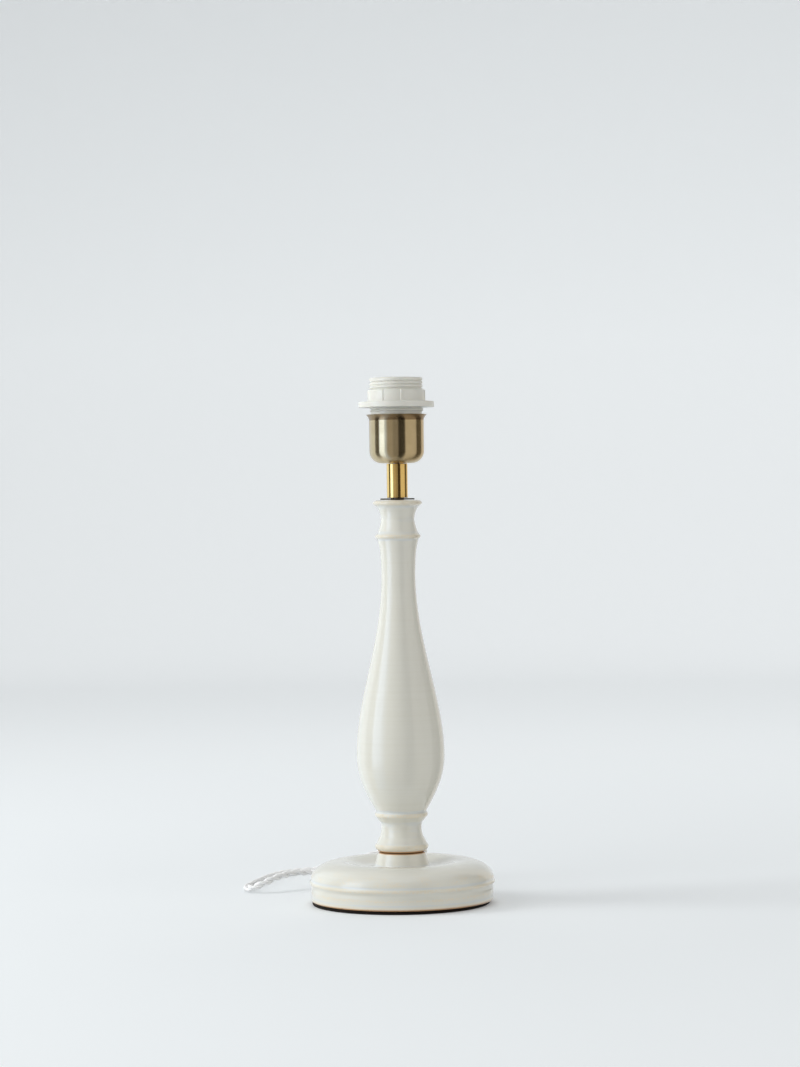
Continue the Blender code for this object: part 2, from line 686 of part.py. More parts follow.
def stem_outline():
    """The outer side from the seam up."""
    ring = [
        (STEM_EDGE_RADIUS, STEM_BOTTOM),
        *arc(
            (STEM_RING_RADIUS - STEM_RING_DEPTH, STEM_RING_HEIGHT),
            (STEM_RING_DEPTH, STEM_RING_DEPTH),
            -60,
            45,
            3,
        ),
    ]
    rise = BEAD_HEIGHT - STEM_RING_HEIGHT
    waist = smooth(
        [
            (STEM_RING_RADIUS - STEM_RING_DEPTH / 2, STEM_RING_HEIGHT + STEM_RING_DEPTH),
            (WAIST_RADIUS + (STEM_RING_RADIUS - WAIST_RADIUS) / 5, WAIST_HEIGHT - rise / 5),
            (WAIST_RADIUS, WAIST_HEIGHT),
            (WAIST_RADIUS + (BEAD_RADIUS - WAIST_RADIUS) / 6, WAIST_HEIGHT + rise / 6),
            (BEAD_RADIUS - BEAD_DEPTH, BEAD_HEIGHT - BEAD_DEPTH - BEAD_DEPTH / 3),
        ],
        2,
    )
    bead = arc((BEAD_RADIUS - BEAD_DEPTH, BEAD_HEIGHT), (BEAD_DEPTH, BEAD_DEPTH), -45, 45, 3)
    notch = (BEAD_NOTCH_RADIUS, BEAD_NOTCH_HEIGHT)
    widest = (BULB_RADIUS, BULB_HEIGHT)
    narrow = (NECK_RADIUS, NECK_HEIGHT)
    lower = swell(widest, notch, BULB_LOWER_SHARE, False)[::-1]
    upper = swell(widest, narrow, BULB_UPPER_SHARE, True)
    collar_rise = STEM_BEAD_EDGE_HEIGHT - NECK_HEIGHT
    neck = smooth(
        [
            narrow,
            (NECK_RADIUS + (STEM_BEAD_EDGE_RADIUS - NECK_RADIUS) / 5, NECK_HEIGHT + collar_rise / 2),
            (STEM_BEAD_EDGE_RADIUS, STEM_BEAD_EDGE_HEIGHT),
        ],
        2,
    )
    top_bead = [
        (STEM_BEAD_RADIUS - BEAD_DEPTH / 5, STEM_BEAD_HEIGHT - BEAD_DEPTH / 2),
        (STEM_BEAD_RADIUS, STEM_BEAD_HEIGHT),
        (STEM_BEAD_RADIUS - BEAD_DEPTH / 3, STEM_BEAD_HEIGHT + BEAD_DEPTH / 2),
    ]
    rise = LIP_HEIGHT - STEM_BEAD_HEIGHT
    throat = smooth(
        [
            (THROAT_RADIUS + (STEM_BEAD_RADIUS - THROAT_RADIUS) / 2, STEM_BEAD_HEIGHT + rise / 6),
            (THROAT_RADIUS + (STEM_BEAD_RADIUS - THROAT_RADIUS) / 9, THROAT_HEIGHT - rise / 6),
            (THROAT_RADIUS, THROAT_HEIGHT),
            (THROAT_RADIUS + (LIP_RADIUS - THROAT_RADIUS) / 9, THROAT_HEIGHT + rise / 6),
            (THROAT_RADIUS + (LIP_RADIUS - THROAT_RADIUS) / 2, LIP_HEIGHT - rise / 9),
        ],
        2,
    )
    lip = [
        (LIP_RADIUS, LIP_HEIGHT),
        (LIP_RADIUS - (STEM_TOP - LIP_HEIGHT) / 4, (LIP_HEIGHT + STEM_TOP) / 2),
        (STEM_TOP_RADIUS, STEM_TOP),
    ]
    return (
        ring + waist[1:] + bead + [notch] + lower + [widest] + upper + neck + top_bead + throat + lip
    )


def make_stem():
    """A hollow casting: the bore opens into the bulb, one wall in from its outside."""
    outer = stem_outline()
    seat = STEM_BOTTOM + STEM_SEAT_WALL
    hollow_low = BEAD_NOTCH_HEIGHT
    hollow_high = NECK_HEIGHT
    hollow = [
        (max(radius - STEM_WALL, TUBE_HOLE_RADIUS), height)
        for radius, height in outer
        if hollow_low < height < hollow_high
    ][::2]
    inner = [
        (TUBE_HOLE_RADIUS, STEM_BOTTOM),
        (TUBE_HOLE_RADIUS, seat),
        (TUBE_HOLE_RADIUS + STEM_WALL / 2, hollow_low),
        *hollow,
        (TUBE_HOLE_RADIUS, STEM_BEAD_HEIGHT),
        (TUBE_HOLE_RADIUS, STEM_TOP),
    ]
    return turned("stem", outer[::-1] + inner, "glaze")


# Threaded tube and its fastenings


def make_threaded_tube():
    outline = ring_outline(TUBE_RADIUS, TUBE_BORE_RADIUS, TUBE_BOTTOM, TUBE_TOP)
    return turned("threaded_tube", outline, "steel", SMALL_STEPS)


def make_foot_fastening():
    bore = TUBE_RADIUS + RUNNING_GAP
    bottom = FOOT_WASHER_TOP - FOOT_WASHER_THICKNESS
    outline = ring_outline(FOOT_WASHER_RADIUS, bore, bottom, FOOT_WASHER_TOP)
    turned("foot_washer", outline, "steel")
    bottom = LOCK_WASHER_TOP - LOCK_WASHER_THICKNESS
    outline = ring_outline(LOCK_WASHER_RADIUS, bore, bottom, LOCK_WASHER_TOP)
    washer = turned("lock_washer", outline, "steel", 2 * LOCK_TEETH)
    width = math.pi * LOCK_WASHER_RADIUS / LOCK_TEETH / 2
    notches = box(
        "lock_notch",
        (LOCK_WASHER_RADIUS - LOCK_TOOTH_DEPTH, -width / 2, bottom - OVERRUN),
        (LOCK_WASHER_RADIUS + OVERRUN, width / 2, LOCK_WASHER_TOP + OVERRUN),
        None,
        CUTTERS,
    )
    hide_cutter(notches)
    for i in range(1, LOCK_TEETH):
        turn = notches.copy()
        turn.rotation_euler.z = 2 * math.pi * i / LOCK_TEETH
        CUTTERS.objects.link(turn)
        boolean(washer, turn)
    boolean(washer, notches)
    hex_nut("foot_nut", FOOT_NUT_ACROSS_FLATS, FOOT_NUT_HEIGHT, bore, FOOT_NUT_TOP, "steel")


# Brass neck and cup


def make_neck():
    bore = TUBE_RADIUS + RUNNING_GAP
    top = TOP_WASHER_BOTTOM + TOP_WASHER_THICKNESS
    outline = ring_outline(TOP_WASHER_RADIUS, bore, TOP_WASHER_BOTTOM, top)
    turned("top_washer", outline, "black_rubber")
    outline = ring_outline(
        NECK_TUBE_RADIUS,
        NECK_TUBE_RADIUS - NECK_TUBE_WALL,
        NECK_TUBE_BOTTOM,
        NECK_TUBE_BOTTOM + NECK_TUBE_LENGTH,
    )
    turned("neck_tube", outline, "bright_brass")


def make_cup():
    """A spun cup with a rolled-out rim; the hole in its floor sits on the tube."""
    top = CUP_BOTTOM + CUP_HEIGHT
    flare = CUP_RIM_RADIUS - CUP_RADIUS
    flare_steps = [1 - i / 3 for i in range(4)]
    outer = [
        (CUP_RADIUS + flare * t**2, top - CUP_FLARE_HEIGHT * (1 - t)) for t in flare_steps
    ]
    outer += arc(
        (CUP_RADIUS - CUP_CORNER, CUP_BOTTOM + CUP_CORNER), (CUP_CORNER, CUP_CORNER), 0, -90
    )
    bore = TUBE_RADIUS + RUNNING_GAP
    inner_radius = CUP_RADIUS - CUP_WALL
    corner = CUP_CORNER - CUP_WALL
    inner = [(bore, CUP_BOTTOM), (bore, CUP_BOTTOM + CUP_WALL)]
    inner += arc(
        (inner_radius - corner, CUP_BOTTOM + CUP_CORNER), (corner, corner), -90, 0
    )
    inner += [
        (inner_radius + flare * t**2, top - CUP_FLARE_HEIGHT * (1 - t)) for t in flare_steps[::-1]
    ]
    turned("cup", outer + inner, "antique_brass", TURN_STEPS)
    top = CUP_NUT_BOTTOM + CUP_NUT_HEIGHT
    hex_nut("cup_nut", CUP_NUT_ACROSS_FLATS, CUP_NUT_HEIGHT, bore, top, "steel")


# Lampholder


def make_holder_cap():
    base = CAP_BOTTOM + CAP_BASE_STEP
    wall_base = base + CAP_WALL
    bore = TUBE_RADIUS + RUNNING_GAP
    middle = (CAP_RADIUS - CAP_DOME_HEIGHT, base + CAP_DOME_HEIGHT)
    dome = (CAP_DOME_HEIGHT, CAP_DOME_HEIGHT)
    inner_dome = (CAP_DOME_HEIGHT - CAP_WALL, CAP_DOME_HEIGHT - CAP_WALL)
    outline = [
        (CAP_RADIUS, CAP_TOP),
        *arc(middle, dome, 0, -90),
        (CAP_BOSS_RADIUS, base),
        (CAP_BOSS_RADIUS, CAP_BOTTOM),
        (bore, CAP_BOTTOM),
        (bore, CAP_BOTTOM + CAP_BOSS_HEIGHT),
        (CAP_BOSS_RADIUS, CAP_BOTTOM + CAP_BOSS_HEIGHT),
        (CAP_BOSS_RADIUS, wall_base),
        *arc(middle, inner_dome, -90, 0),
        (CAP_RADIUS - CAP_WALL, CAP_TOP),
    ]
    turned("holder_cap", outline, "white_plastic")


def make_barrel():
    """The threaded sleeve, plain at its thread's crest, with a spigot into the cap."""
    bore = SPIGOT_RADIUS - SPIGOT_WALL
    mouth = BARREL_TOP - BARREL_MOUTH_DEPTH
    outline = [
        (BARREL_MOUTH_RADIUS, BARREL_TOP),
        (THREAD_RADIUS - BARREL_BEVEL, BARREL_TOP),
        (THREAD_RADIUS, BARREL_TOP - BARREL_BEVEL),
        (THREAD_RADIUS, THREAD_START),
        (BARREL_NECK_RADIUS, THREAD_START - BARREL_BEVEL),
        (BARREL_NECK_RADIUS, BARREL_BOTTOM),
        (SPIGOT_RADIUS, BARREL_BOTTOM),
        (SPIGOT_RADIUS, SPIGOT_BOTTOM),
        (bore, SPIGOT_BOTTOM),
        (bore, mouth),
        (BARREL_MOUTH_RADIUS, mouth),
    ]
    turned("holder_barrel", outline, "white_plastic")


def make_contact_block():
    outline = [
        (0, BLOCK_TOP),
        (BLOCK_RADIUS, BLOCK_TOP),
        (BLOCK_RADIUS, BLOCK_BOTTOM),
        (BLOCK_GUIDE_RADIUS, BLOCK_BOTTOM),
        (BLOCK_GUIDE_RADIUS, BLOCK_BOTTOM - BLOCK_GUIDE_HEIGHT),
        (0, BLOCK_BOTTOM - BLOCK_GUIDE_HEIGHT),
    ]
    block = turned("contact_block", outline, "contact_block")
    side = CONTACT_WIDTH / 2 + CONTACT_CLEARANCE
    pocket = box(
        "contact_pocket",
        (CONTACT_ROOT - CONTACT_CLEARANCE, -side, BLOCK_TOP - CONTACT_POCKET_DEPTH),
        (CONTACT_TIP_HALF * 2, side, BLOCK_TOP + OVERRUN),
        None,
        CUTTERS,
    )
    boolean(block, hide_cutter(pocket))
    bottom = SHELL_BOTTOM
    outline = ring_outline(SHELL_RADIUS, SHELL_RADIUS - SHELL_WALL, bottom, bottom + SHELL_HEIGHT)
    turned("screw_shell", outline, "nickel")


def ribbon(name, line, thickness, width, material):
    """A bent strip: its line lies in the XZ plane, its width along Y."""
    mesh = bpy.data.meshes.new(name)
    count = len(line)
    points = [(x, side * width / 2, z) for side in (-1, 1) for x, z in line]
    faces = [(i, i + 1, count + i + 1, count + i) for i in range(count - 1)]
    mesh.from_pydata(points, [], faces)
    obj = add(name, mesh, material)
    sheet = obj.modifiers.new("sheet", "SOLIDIFY")
    sheet.thickness = thickness
    sheet.offset = 0
    sheet.use_even_offset = True
    return obj


def make_contacts():
    """The sprung middle contact, rooted in its pocket, and the two terminal screws."""
    root = BLOCK_TOP - CONTACT_POCKET_DEPTH + SEAT_GAP + CONTACT_THICKNESS / 2
    tip = BLOCK_TOP + CONTACT_RISE
    line = smooth(
        [
            (CONTACT_ROOT, root),
            (CONTACT_ROOT + CONTACT_FOOT, root + CONTACT_THICKNESS / 2),
            (CONTACT_ROOT / 2, (root + tip) / 2),
            (-CONTACT_TIP_HALF, tip - CONTACT_THICKNESS),
            (0, tip),
            (CONTACT_TIP_HALF, tip - CONTACT_THICKNESS),
        ],
        2,
    )
    ribbon("centre_contact", line, CONTACT_THICKNESS, CONTACT_WIDTH, "bright_brass")
    top = BLOCK_BOTTOM - SEAT_GAP
    bottom = top - TERMINAL_HEIGHT
    for count, side in enumerate((-1, 1), 1):
        name = f"terminal_screw_{count}"
        screw = cylinder(name, TERMINAL_RADIUS, bottom, top, "bright_brass", None, SMALL_STEPS)
        slot = box(
            name + "_slot",
            (-TERMINAL_RADIUS - OVERRUN, -TERMINAL_SLOT / 2, bottom - OVERRUN),
            (TERMINAL_RADIUS + OVERRUN, TERMINAL_SLOT / 2, bottom + TERMINAL_SLOT),
            None,
            CUTTERS,
        )
        hide_cutter(slot)
        for piece in (screw, slot):
            piece.location.x = side * TERMINAL_OFFSET
        boolean(screw, slot)


def make_leads():
    """The two insulated wires from the cord's split end up to the terminals."""
    start = TUBE_TOP + LEAD_START_RISE
    end = BLOCK_BOTTOM - SEAT_GAP - TERMINAL_HEIGHT - SEAT_GAP
    rise = end - start
    for name, side in (("lead_live", -1), ("lead_neutral", 1)):
        near = side * (STRAND_RADIUS + SEAT_GAP)
        far = side * TERMINAL_OFFSET
        line = smooth(
            [
                (near, 0, start),
                (near, 0, start + rise / 4),
                ((near + far) / 2, 0, start + rise / 2),
                (far, 0, end - rise / 4),
                (far, 0, end),
            ],
            3,
        )
        tube(name, line, STRAND_RADIUS, "textile", 1)


def make_shade_ring():
    """Flange below, grip skirt above with raised pads, a plain bore for the thread."""
    bore = THREAD_RADIUS + RUNNING_GAP
    flange_top = RING_BOTTOM + RING_FLANGE_THICKNESS
    top = RING_BOTTOM + RING_HEIGHT
    low_skirt = RING_SKIRT_RADIUS - RING_PAD_STEP
    outline = [
        (bore, top),
        (low_skirt, top),
        (low_skirt, flange_top),
        (RING_FLANGE_RADIUS - RING_BEVEL, flange_top),
        (RING_FLANGE_RADIUS, flange_top - RING_BEVEL),
        (RING_FLANGE_RADIUS, RING_BOTTOM),
        (bore, RING_BOTTOM),
    ]
    ring = turned("shade_ring", outline, "white_plastic", RING_STEPS)
    outline = [
        (bore + RING_BEVEL, top - RING_PAD_STEP),
        (RING_SKIRT_RADIUS, top - RING_PAD_STEP),
        (RING_SKIRT_RADIUS, flange_top - RING_BEVEL),
        (bore + RING_BEVEL, flange_top - RING_BEVEL),
    ]
    pads = hide_cutter(turned("ring_pads", outline, None, RING_STEPS, CUTTERS))
    half_gap = RING_SKIRT_RADIUS * math.tan(math.pi / RING_PADS / 2)
    for i in range(RING_PADS):
        gap = box(
            f"pad_gap_{i}",
            (0, -half_gap, RING_BOTTOM),
            (RING_FLANGE_RADIUS, half_gap, top + OVERRUN),
            None,
            CUTTERS,
        )
        gap.rotation_euler.z = RING_PAD_TURN + 2 * math.pi * (i + GAP_PHASE_SHARE) / RING_PADS
        boolean(pads, hide_cutter(gap))
    boolean(ring, pads, "UNION")


# Cord, coil, switch and plug


def exit_point(distance):
    return Vector(
        (distance * math.cos(EXIT_TURN), distance * math.sin(EXIT_TURN), EXIT_HEIGHT)
    )


def resampled(route, step):
    """Points an even step apart on a smooth curve, its two straight ends kept."""
    dense = np.array(smooth(route, 12))
    runs = np.linalg.norm(np.diff(dense, axis=0), axis=1)
    run = np.concatenate([[0], np.cumsum(runs)])
    middle = run[-1] - 2 * CORD_STRAIGHT_END
    count = max(2, round(middle / step) + 1)
    inner = np.linspace(CORD_STRAIGHT_END, run[-1] - CORD_STRAIGHT_END, count)
    places = [0, *inner, run[-1]]
    columns = [np.interp(places, run, dense[:, k]) for k in range(3)]
    return list(zip(*columns))


def line_length(points):
    return sum((Vector(a) - Vector(b)).length for a, b in zip(points, points[1:]))


def make_inner_cord(bush_tip):
    """From the bush's mouth across the recess and up the threaded tube."""
    low = PAD_THICKNESS + SEAT_GAP + CORD_RADIUS
    bend = TUBE_BOTTOM - low
    top = TUBE_TOP + LEAD_START_RISE - SEAT_GAP
    flat = [
        (bush_tip, EXIT_HEIGHT),
        (RIM_INSIDE_RADIUS, EXIT_HEIGHT),
        (RIM_INSIDE_RADIUS - 2 * BUSH_NUT_HEIGHT, EXIT_HEIGHT),
        (RIM_INSIDE_RADIUS / 2, low),
        (2 * bend, low),
        *arc((bend, TUBE_BOTTOM), (bend, bend), -90, -180),
        (0, TUBE_TOP / 2),
        (0, top - CORD_RADIUS),
        (0, top),
    ]
    route = [(*exit_point(distance).xy, height) for distance, height in flat]
    tube("inner_cord", smooth(route, 2), CORD_RADIUS, "textile")


def coil_radius(turns):
    return COIL_MEAN_RADIUS + COIL_PITCH * (abs(turns - COIL_TURNS / 2) - COIL_TURNS / 4)


def coil_height(turns):
    """The lower layer, then a climb in the half turn where the spiral reverses."""
    step = min(max(2 * (turns - COIL_TURNS / 2) + 1 / 2, 0), 1)
    low = COIL_LIFT + CORD_RADIUS
    return low + COIL_PITCH * step * step * (3 - 2 * step)


def coil_point(turns):
    turn = COIL_START_TURN - 2 * math.pi * turns
    radius = coil_radius(turns)
    x = COIL_CENTRE[0] + radius * math.cos(turn)
    y = COIL_CENTRE[1] + radius * math.sin(turn)
    return Vector((x, y, coil_height(turns)))


def make_coil():
    """Six piled loops, in and out again, with straight ends of one diameter."""
    count = COIL_TURNS * COIL_LOOP_POINTS
    loops = [coil_point(i / COIL_LOOP_POINTS) for i in range(count + 1)]
    start = loops[0] - Vector((0, CORD_STRAIGHT_END, 0))
    end = loops[-1] + Vector((0, CORD_STRAIGHT_END, 0))
    line = [start, *loops, end]
    tube("cord_coil", line, CORD_RADIUS, "textile", 1)
    spots = np.array([tuple(p) for p in line])
    apart = np.linalg.norm(spots[:, None] - spots[None], axis=2)
    order = np.abs(np.subtract.outer(np.arange(len(spots)), np.arange(len(spots))))
    least = apart[order > COIL_LOOP_POINTS / 2].min() - 2 * CORD_RADIUS
    print(f"coil: {COIL_TURNS} loops, least gap to itself {least * 1000:.2f} mm")
    return start, end, line_length(line)


def make_tie():
    """A narrow band closed round the coil's bundle."""
    turns = (COIL_START_TURN - TIE_TURN) / (2 * math.pi)
    radii = [coil_radius(turns + i) for i in range(COIL_TURNS)]
    heights = [coil_height(turns), coil_height(turns + COIL_TURNS - 1)]
    reach = CORD_RADIUS + TIE_GAP
    low = (min(radii) - reach, heights[0] - reach)
    high = (max(radii) + reach, heights[1] + reach)
    outer = box(
        "coil_tie",
        (low[0] - TIE_THICKNESS, -TIE_WIDTH / 2, low[1] - TIE_THICKNESS),
        (high[0] + TIE_THICKNESS, TIE_WIDTH / 2, high[1] + TIE_THICKNESS),
        "white_plastic",
    )
    inner = box(
        "tie_inside",
        (low[0], -TIE_WIDTH, low[1]),
        (high[0], TIE_WIDTH, high[1]),
        None,
        CUTTERS,
    )
    for piece in (outer, inner):
        piece.location = (*COIL_CENTRE, 0)
        piece.rotation_euler.z = TIE_TURN
    boolean(outer, hide_cutter(inner))


def prism(name, outline, bottom, top, material=None, group=None):
    """An upright prism on a flat outline of (x, y) pairs, listed anticlockwise."""
    work = bmesh.new()
    face = work.faces.new([work.verts.new((x, y, bottom)) for x, y in outline])
    work.normal_update()
    if face.normal.z > 0:
        face.normal_flip()
    grown = bmesh.ops.extrude_face_region(work, geom=[face])
    verts = [v for v in grown["geom"] if isinstance(v, bmesh.types.BMVert)]
    bmesh.ops.translate(work, verts=verts, vec=(0, 0, top - bottom))
    bmesh.ops.recalc_face_normals(work, faces=work.faces)
    mesh = bpy.data.meshes.new(name)
    work.to_mesh(mesh)
    work.free()
    return add(name, mesh, material, group)


def bevel(obj, width, segments=2):
    edge = obj.modifiers.new("edges", "BEVEL")
    edge.width = width
    edge.segments = segments
    edge.limit_method = "ANGLE"
    edge.angle_limit = math.radians(50)
    return obj


def switch_outline(inset=0.0):
    """Wide in the middle and drawn in towards both cord ends."""
    half = SWITCH_LENGTH / 2 - inset
    wide = SWITCH_WIDTH / 2 - inset
    narrow = SWITCH_END_WIDTH / 2 - inset
    steps = 8
    sides = []
    for i in range(steps + 1):
        share = 2 * i / steps - 1
        sides.append((half * share, narrow + (wide - narrow) * (1 - share**SWITCH_WAIST_SHARE)))
    return [(x, -y) for x, y in sides] + [(x, y) for x, y in sides[::-1]]


def at_switch(obj):
    obj.location.x += SWITCH_CENTRE[0]
    obj.location.y += SWITCH_CENTRE[1]
    return obj


def make_switch():
    """Two shells that close on the cord, the rocker on its stubs, two contacts."""
    lower = prism("switch_lower", switch_outline(), SWITCH_BOTTOM, SWITCH_MIDDLE, "white_plastic")
    upper = prism(
        "switch_upper", switch_outline(), SWITCH_UPPER_BOTTOM, SWITCH_TOP, "white_plastic"
    )
    hollow = prism(
        "switch_hollow",
        switch_outline(SWITCH_WALL),
        SWITCH_BOTTOM + SWITCH_WALL,
        SWITCH_TOP - SWITCH_WALL,
        None,
        CUTTERS,
    )
    channel = cutter(
        "switch_channel",
        CORD_RADIUS + SEAT_GAP,
        -SWITCH_LENGTH / 2 - OVERRUN,
        SWITCH_LENGTH / 2 + OVERRUN,
        along((0, 0, SWITCH_MIDDLE), (1, 0, 0)),
        12,
    )
    half_length = ROCKER_LENGTH / 2 + ROCKER_CLEARANCE
    half_width = ROCKER_WIDTH / 2 + ROCKER_CLEARANCE
    window = box(
        "rocker_window",
        (-half_length, -half_width, ROCKER_PIVOT - ROCKER_DEPTH),
        (half_length, half_width, SWITCH_TOP + OVERRUN),
        None,
        CUTTERS,
    )
    stub = ROCKER_PIN_RADIUS + RUNNING_GAP
    reach = SWITCH_WIDTH / 2 - SWITCH_WALL / 2 + RUNNING_GAP
    sockets = cutter(
        "stub_sockets", stub, -reach, reach, along((0, 0, ROCKER_PIVOT), (0, 1, 0)), 12
    )
    for shell in (lower, upper):
        bevel(shell, SWITCH_BEVEL)
        boolean(shell, hollow)
        boolean(shell, channel)
    boolean(upper, window)
    boolean(upper, sockets)
    for piece in (lower, upper, hide_cutter(hollow), channel, hide_cutter(window), sockets):
        at_switch(piece)
    for count, side in enumerate((-1, 1), 1):
        middle = side * SWITCH_CONTACT_OFFSET
        floor = SWITCH_BOTTOM + SWITCH_WALL + SEAT_GAP
        contact = box(
            f"switch_contact_{count}",
            (middle - SWITCH_CONTACT_LENGTH / 2, -SWITCH_CONTACT_WIDTH / 2, floor),
            (middle + SWITCH_CONTACT_LENGTH / 2, SWITCH_CONTACT_WIDTH / 2, floor + SWITCH_CONTACT_HEIGHT),
            "bright_brass",
        )
        at_switch(contact)


def make_rocker():
    """Modelled about its own pivot and tipped to its off side."""
    half = ROCKER_LENGTH / 2
    top = ROCKER_PIVOT_DEPTH + ROCKER_PROUD
    outline = [
        (-half * ROCKER_FOOT_SHARE, -ROCKER_DEPTH),
        (half * ROCKER_FOOT_SHARE, -ROCKER_DEPTH),
        (half, 0),
        (half, top),
        (half / 2, top - ROCKER_DIP),
        (0, top - ROCKER_DIP * 2),
        (-half / 2, top - ROCKER_DIP),
        (-half, top),
        (-half, 0),
    ]
    rocker = prism("switch_rocker", outline, -ROCKER_WIDTH / 2, ROCKER_WIDTH / 2, "white_plastic")
    reach = SWITCH_WIDTH / 2 - SWITCH_WALL / 2
    stubs = cutter("rocker_stubs", ROCKER_PIN_RADIUS, -reach, reach, None, 12)
    boolean(rocker, stubs, "UNION")
    stand = Matrix.Rotation(math.pi / 2, 4, "X")
    tip = Matrix.Rotation(ROCKER_SWING, 4, "Y")
    place = Matrix.Translation((*SWITCH_CENTRE, ROCKER_PIVOT)) @ tip @ stand
    rocker.matrix_world = place
    stubs.matrix_world = place


def make_plug():
    """A flat two-pin plug lying on the coil, its pins towards the foot."""
    low = coil_height(COIL_TURNS) + CORD_RADIUS + TIE_GAP + TIE_THICKNESS + SEAT_GAP
    front = -PLUG_LENGTH / 2
    back = PLUG_LENGTH / 2
    outline = [
        (-PLUG_WIDTH / 2, front),
        (PLUG_WIDTH / 2, front),
        (PLUG_WIDTH / 2, front + PLUG_LENGTH * PLUG_SQUARE_SHARE),
        (PLUG_BACK_WIDTH / 2, back),
        (-PLUG_BACK_WIDTH / 2, back),
        (-PLUG_WIDTH / 2, front + PLUG_LENGTH * PLUG_SQUARE_SHARE),
    ]
    body = prism("plug_body", outline, low, low + PLUG_THICKNESS, "white_plastic")
    bevel(body, PLUG_BEVEL)
    middle = low + PLUG_THICKNESS / 2
    axis = along((0, 0, middle), (0, 1, 0))
    tail_end = back + PLUG_TAIL_LENGTH
    outline = [
        (0, tail_end),
        (PLUG_TAIL_TIP, tail_end),
        (PLUG_TAIL_BASE, back - OVERRUN),
        (0, back - OVERRUN),
    ]
    tail = hide_cutter(turned("plug_tail", outline, None, SMALL_STEPS, CUTTERS))
    tail.matrix_world = axis
    pieces = [body, tail]
    boolean(body, tail, "UNION")
    for count, side in enumerate((-1, 1), 1):
        seat = front + PIN_SEAT
        place = along((side * PIN_SPACING / 2, 0, middle), (0, 1, 0))
        hole = cutter(
            f"pin_hole_{count}", PIN_RADIUS + SEAT_GAP, front - OVERRUN, seat + SEAT_GAP, place, 12
        )
        boolean(body, hole)
        outline = [
            (0, seat),
            (PIN_RADIUS, seat),
            (PIN_RADIUS, front - PIN_LENGTH + PIN_RADIUS),
            (PIN_RADIUS * PIN_TIP_SHARE, front - PIN_LENGTH),
            (0, front - PIN_LENGTH),
        ]
        pin = turned(f"plug_pin_{count}", outline, "nickel", 12)
        pin.matrix_world = place
        pieces += [hole, pin]
    for piece in pieces:
        piece.matrix_world = Matrix.Translation((COIL_CENTRE[0], PLUG_CENTRE_Y, 0)) @ piece.matrix_world
    return Vector((COIL_CENTRE[0], PLUG_CENTRE_Y + tail_end + SEAT_GAP, middle))


def behind_foot(route):
    return [(x, BAND_RADIUS + behind, z) for x, behind, z in route]


def make_free_cord(bush_tip, coil_start, coil_end, plug_end):
    """The three free stretches, on smooth curves through points chosen by hand."""
    half = SWITCH_LENGTH / 2 + SEAT_GAP
    switch_right = Vector((SWITCH_CENTRE[0] + half, SWITCH_CENTRE[1], SWITCH_MIDDLE))
    switch_left = Vector((SWITCH_CENTRE[0] - half, SWITCH_CENTRE[1], SWITCH_MIDDLE))
    straight = Vector((CORD_STRAIGHT_END, 0, 0))
    forward = Vector((0, CORD_STRAIGHT_END, 0))
    start = exit_point(bush_tip + SEAT_GAP)
    stretches = {
        "cord_to_switch": [
            start,
            exit_point(bush_tip + SEAT_GAP + CORD_STRAIGHT_END),
            *behind_foot(LAMP_ROUTE),
            switch_right + straight,
            switch_right,
        ],
        "cord_to_coil": [
            switch_left,
            switch_left - straight,
            *behind_foot(COIL_ROUTE),
            coil_start - forward - Vector((0, SEAT_GAP, 0)),
            coil_start - Vector((0, SEAT_GAP, 0)),
        ],
        "cord_to_plug": [
            coil_end + Vector((0, SEAT_GAP, 0)),
            coil_end + forward + Vector((0, SEAT_GAP, 0)),
            *behind_foot(PLUG_ROUTE),
            plug_end + forward,
            plug_end,
        ],
    }
    total = 0.0
    for name, route in stretches.items():
        line = resampled([tuple(p) for p in route], CORD_POINT_STEP)
        tube(name, line, CORD_RADIUS, "textile")
        total += line_length(line)
    return total + SWITCH_LENGTH


def build():
    make_pad()
    make_foot()
    bush_tip = make_bush()
    make_gasket()
    make_stem()
    make_threaded_tube()
    make_foot_fastening()
    make_neck()
    make_cup()
    make_holder_cap()
    make_barrel()
    make_contact_block()
    make_contacts()
    make_leads()
    make_shade_ring()
    make_inner_cord(bush_tip)
    coil_start, coil_end, wound = make_coil()
    make_tie()
    make_switch()
    make_rocker()
    plug_end = make_plug()
    free = make_free_cord(bush_tip, coil_start, coil_end, plug_end)
    print(f"cord: {free + wound:.3f} m from the bush to the plug")
    for obj in PARTS.objects:
        if obj.type == "MESH":
            soften(obj)


build()
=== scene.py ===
"""The looks of a glazed ceramic table lamp base: glaze, brushed brass, moulded lampholder
with its rolled thread and shade ring, felt, and a twisted textile cord with its switch
and plug.  Metres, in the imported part's frame."""

import json
import math

import bmesh
import bpy
import numpy as np
from mathutils import Matrix, Vector

